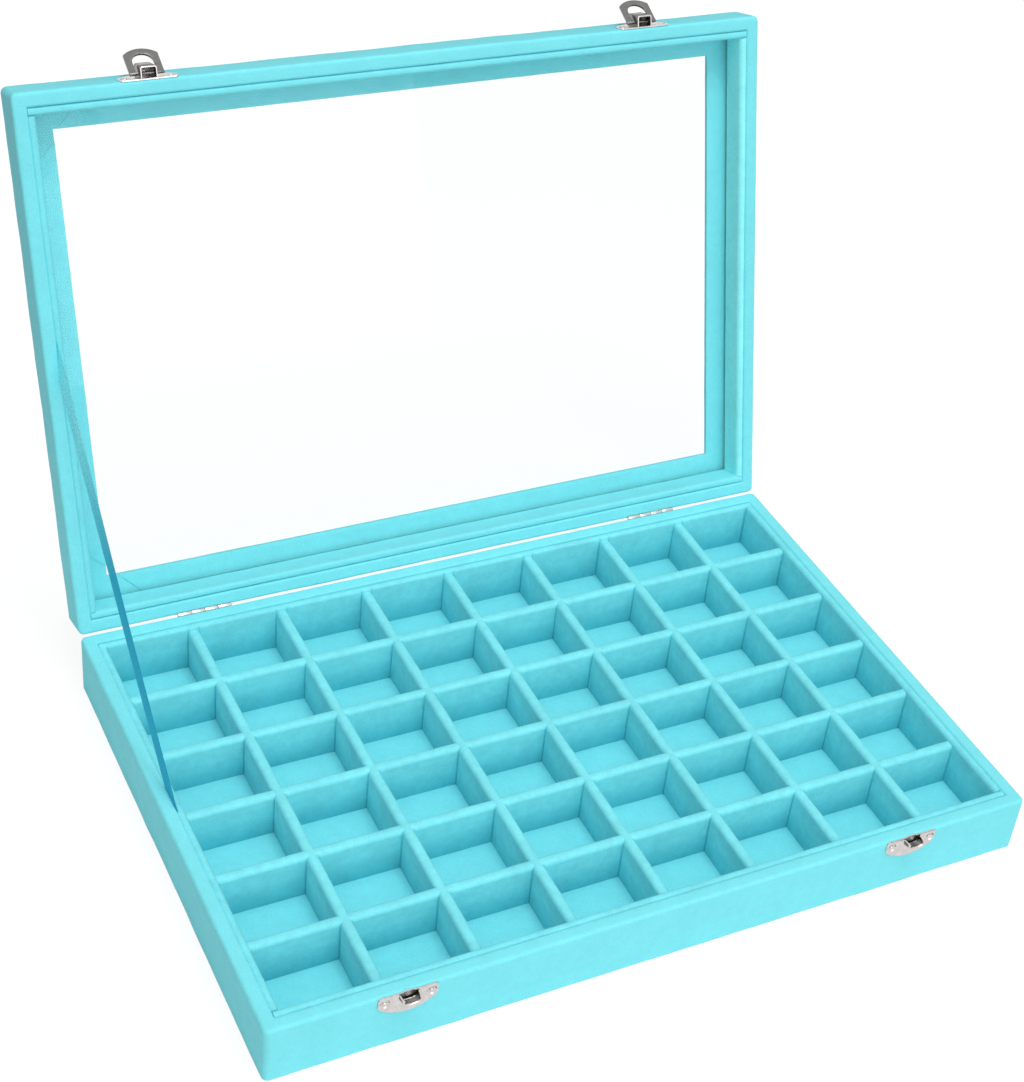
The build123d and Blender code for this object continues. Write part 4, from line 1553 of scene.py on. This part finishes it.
class BOX_OT_stage(bpy.types.Operator):
    """Pale floor, soft studio light and the camera"""

    bl_idname = "box.stage"
    bl_label = "Stage"

    def execute(self, context):
        settings = context.scene.box_stage
        self.add_floor(settings)
        aim = Vector(settings.light_aim)
        self.add_light("top_light", settings.top_place, settings.top_size, settings.top_power, aim)
        self.add_light(
            "front_light", settings.front_place, settings.front_size, settings.front_power, aim
        )
        self.add_world(settings)
        self.add_camera(settings)
        context.scene.view_settings.view_transform = "Standard"
        return {"FINISHED"}

    def add_floor(self, settings):
        """A large white floor that keeps the object's shadow."""
        bm = bmesh.new()
        bmesh.ops.create_circle(bm, cap_ends=True, radius=settings.floor_radius, segments=96)
        floor = add_object("floor", mesh_from(bm, "floor"))
        material = bpy.data.materials.new("floor_white")
        material.use_nodes = True
        tree = material.node_tree
        tree.nodes.clear()
        output = tree.nodes.new("ShaderNodeOutputMaterial")
        mix = tree.nodes.new("ShaderNodeMixShader")
        diffuse = tree.nodes.new("ShaderNodeBsdfDiffuse")
        glow = tree.nodes.new("ShaderNodeEmission")
        set_inputs(glow, Strength=settings.floor_glow)
        distance = tree.nodes.new("ShaderNodeVectorMath")
        distance.operation = "LENGTH"
        tree.links.new(tree.nodes.new("ShaderNodeTexCoord").outputs["Object"], distance.inputs[0])
        far = distance.outputs["Value"]
        start, end = settings.table, 2 * settings.table
        pale = spread_value(tree, far, start, end, settings.near_floor, settings.far_floor)
        tree.links.new(pale, diffuse.inputs["Color"])
        white = spread_value(tree, far, start, end, settings.floor_white, 1.0)
        tree.links.new(multiply(tree, self.seen_directly(tree), white), mix.inputs[0])
        tree.links.new(diffuse.outputs[0], mix.inputs[1])
        tree.links.new(glow.outputs[0], mix.inputs[2])
        tree.links.new(mix.outputs[0], output.inputs["Surface"])
        floor.data.materials.append(material)

    def seen_directly(self, tree):
        """One for what the camera sees, in metal and through the pane too, and zero for the rest."""
        path = tree.nodes.new("ShaderNodeLightPath")
        seen = path.outputs["Is Camera Ray"]
        for ray in ("Is Glossy Ray", "Is Transmission Ray"):
            seen = value_math(tree, "MAXIMUM", seen, path.outputs[ray])
        return seen

    def add_world(self, settings):
        """White to look at, and softer as a light."""
        world = bpy.data.worlds.new("studio")
        bpy.context.scene.world = world
        world.use_nodes = True
        tree = world.node_tree
        background = tree.nodes["Background"]
        set_inputs(background, Color=(1.0, 1.0, 1.0, 1.0))
        facing = tree.nodes.new("ShaderNodeVectorMath")
        facing.operation = "DOT_PRODUCT"
        facing.inputs[1].default_value = Vector(settings.sky_axis).normalized()
        direction = tree.nodes.new("ShaderNodeTexCoord").outputs["Generated"]
        tree.links.new(direction, facing.inputs[0])
        level = facing.outputs["Value"]
        sky = spread_value(
            tree, level, 0.0, settings.sky_reach, settings.sky_dim, settings.sky_bright
        )
        strength = spread_value(tree, self.seen_directly(tree), 0.0, 1.0, sky, 1.0)
        tree.links.new(strength, background.inputs["Strength"])

    def add_light(self, name, place, size, power, aim):
        """A square soft light that looks at the object."""
        data = bpy.data.lights.new(name, "AREA")
        data.size = size
        data.energy = power
        light = add_object(name, data)
        light.location = place
        light.rotation_mode = "QUATERNION"
        light.rotation_quaternion = (aim - light.location).to_track_quat("-Z", "Y")

    def add_camera(self, settings):
        """The photograph's view: front left, from above, with a small shift."""
        data = bpy.data.cameras.new("camera")
        data.sensor_width = settings.sensor / MM
        data.lens = settings.focal / MM
        data.shift_x, data.shift_y = settings.camera_shift
        camera = add_object("camera", data)
        camera.location = settings.camera_place
        camera.rotation_euler = settings.camera_turn
        bpy.context.scene.camera = camera


PIECES = (
    BOX_OT_base_cover,
    BOX_OT_lid_cover,
    BOX_OT_liners,
    BOX_OT_dividers,
    BOX_OT_floor,
    BOX_OT_flaps,
    BOX_OT_ribbon,
    BOX_OT_hinges,
    BOX_OT_latches,
    BOX_OT_nails,
    BOX_OT_plain_nodes,
    BOX_OT_stage,
)


class BOX_PT_panel(bpy.types.Panel):
    """The box's sizes, colours and pieces"""

    bl_idname = "BOX_PT_panel"
    bl_label = "Jewelry Organizer Box"
    bl_space_type = "VIEW_3D"
    bl_region_type = "UI"
    bl_category = "Jewelry Box"

    def draw(self, context):
        scene = context.scene
        for group in (scene.box_sizes, scene.box_latches, scene.box_colours, scene.box_stage):
            box = self.layout.box()
            for name in group.bl_rna.properties.keys():
                if name not in ("rna_type", "name"):
                    box.prop(group, name)
        for piece in PIECES:
            self.layout.operator(piece.bl_idname)


CLASSES = (BoxSizes, LatchSizes, BoxColours, StageSettings, *PIECES, BOX_PT_panel)


def register():
    """Register the classes and the scene's settings."""
    for item in CLASSES:
        bpy.utils.register_class(item)
    bpy.types.Scene.box_sizes = PointerProperty(type=BoxSizes)
    bpy.types.Scene.box_latches = PointerProperty(type=LatchSizes)
    bpy.types.Scene.box_colours = PointerProperty(type=BoxColours)
    bpy.types.Scene.box_stage = PointerProperty(type=StageSettings)


def unregister():
    """Take the classes and the settings away again."""
    for name in ("box_sizes", "box_latches", "box_colours", "box_stage"):
        delattr(bpy.types.Scene, name)
    for item in reversed(CLASSES):
        bpy.utils.unregister_class(item)


def main():
    """Make every piece and the stage."""
    register()
    for piece in PIECES:
        group, name = piece.bl_idname.split(".")
        getattr(getattr(bpy.ops, group), name)()


if __name__ == "__main__":
    main()
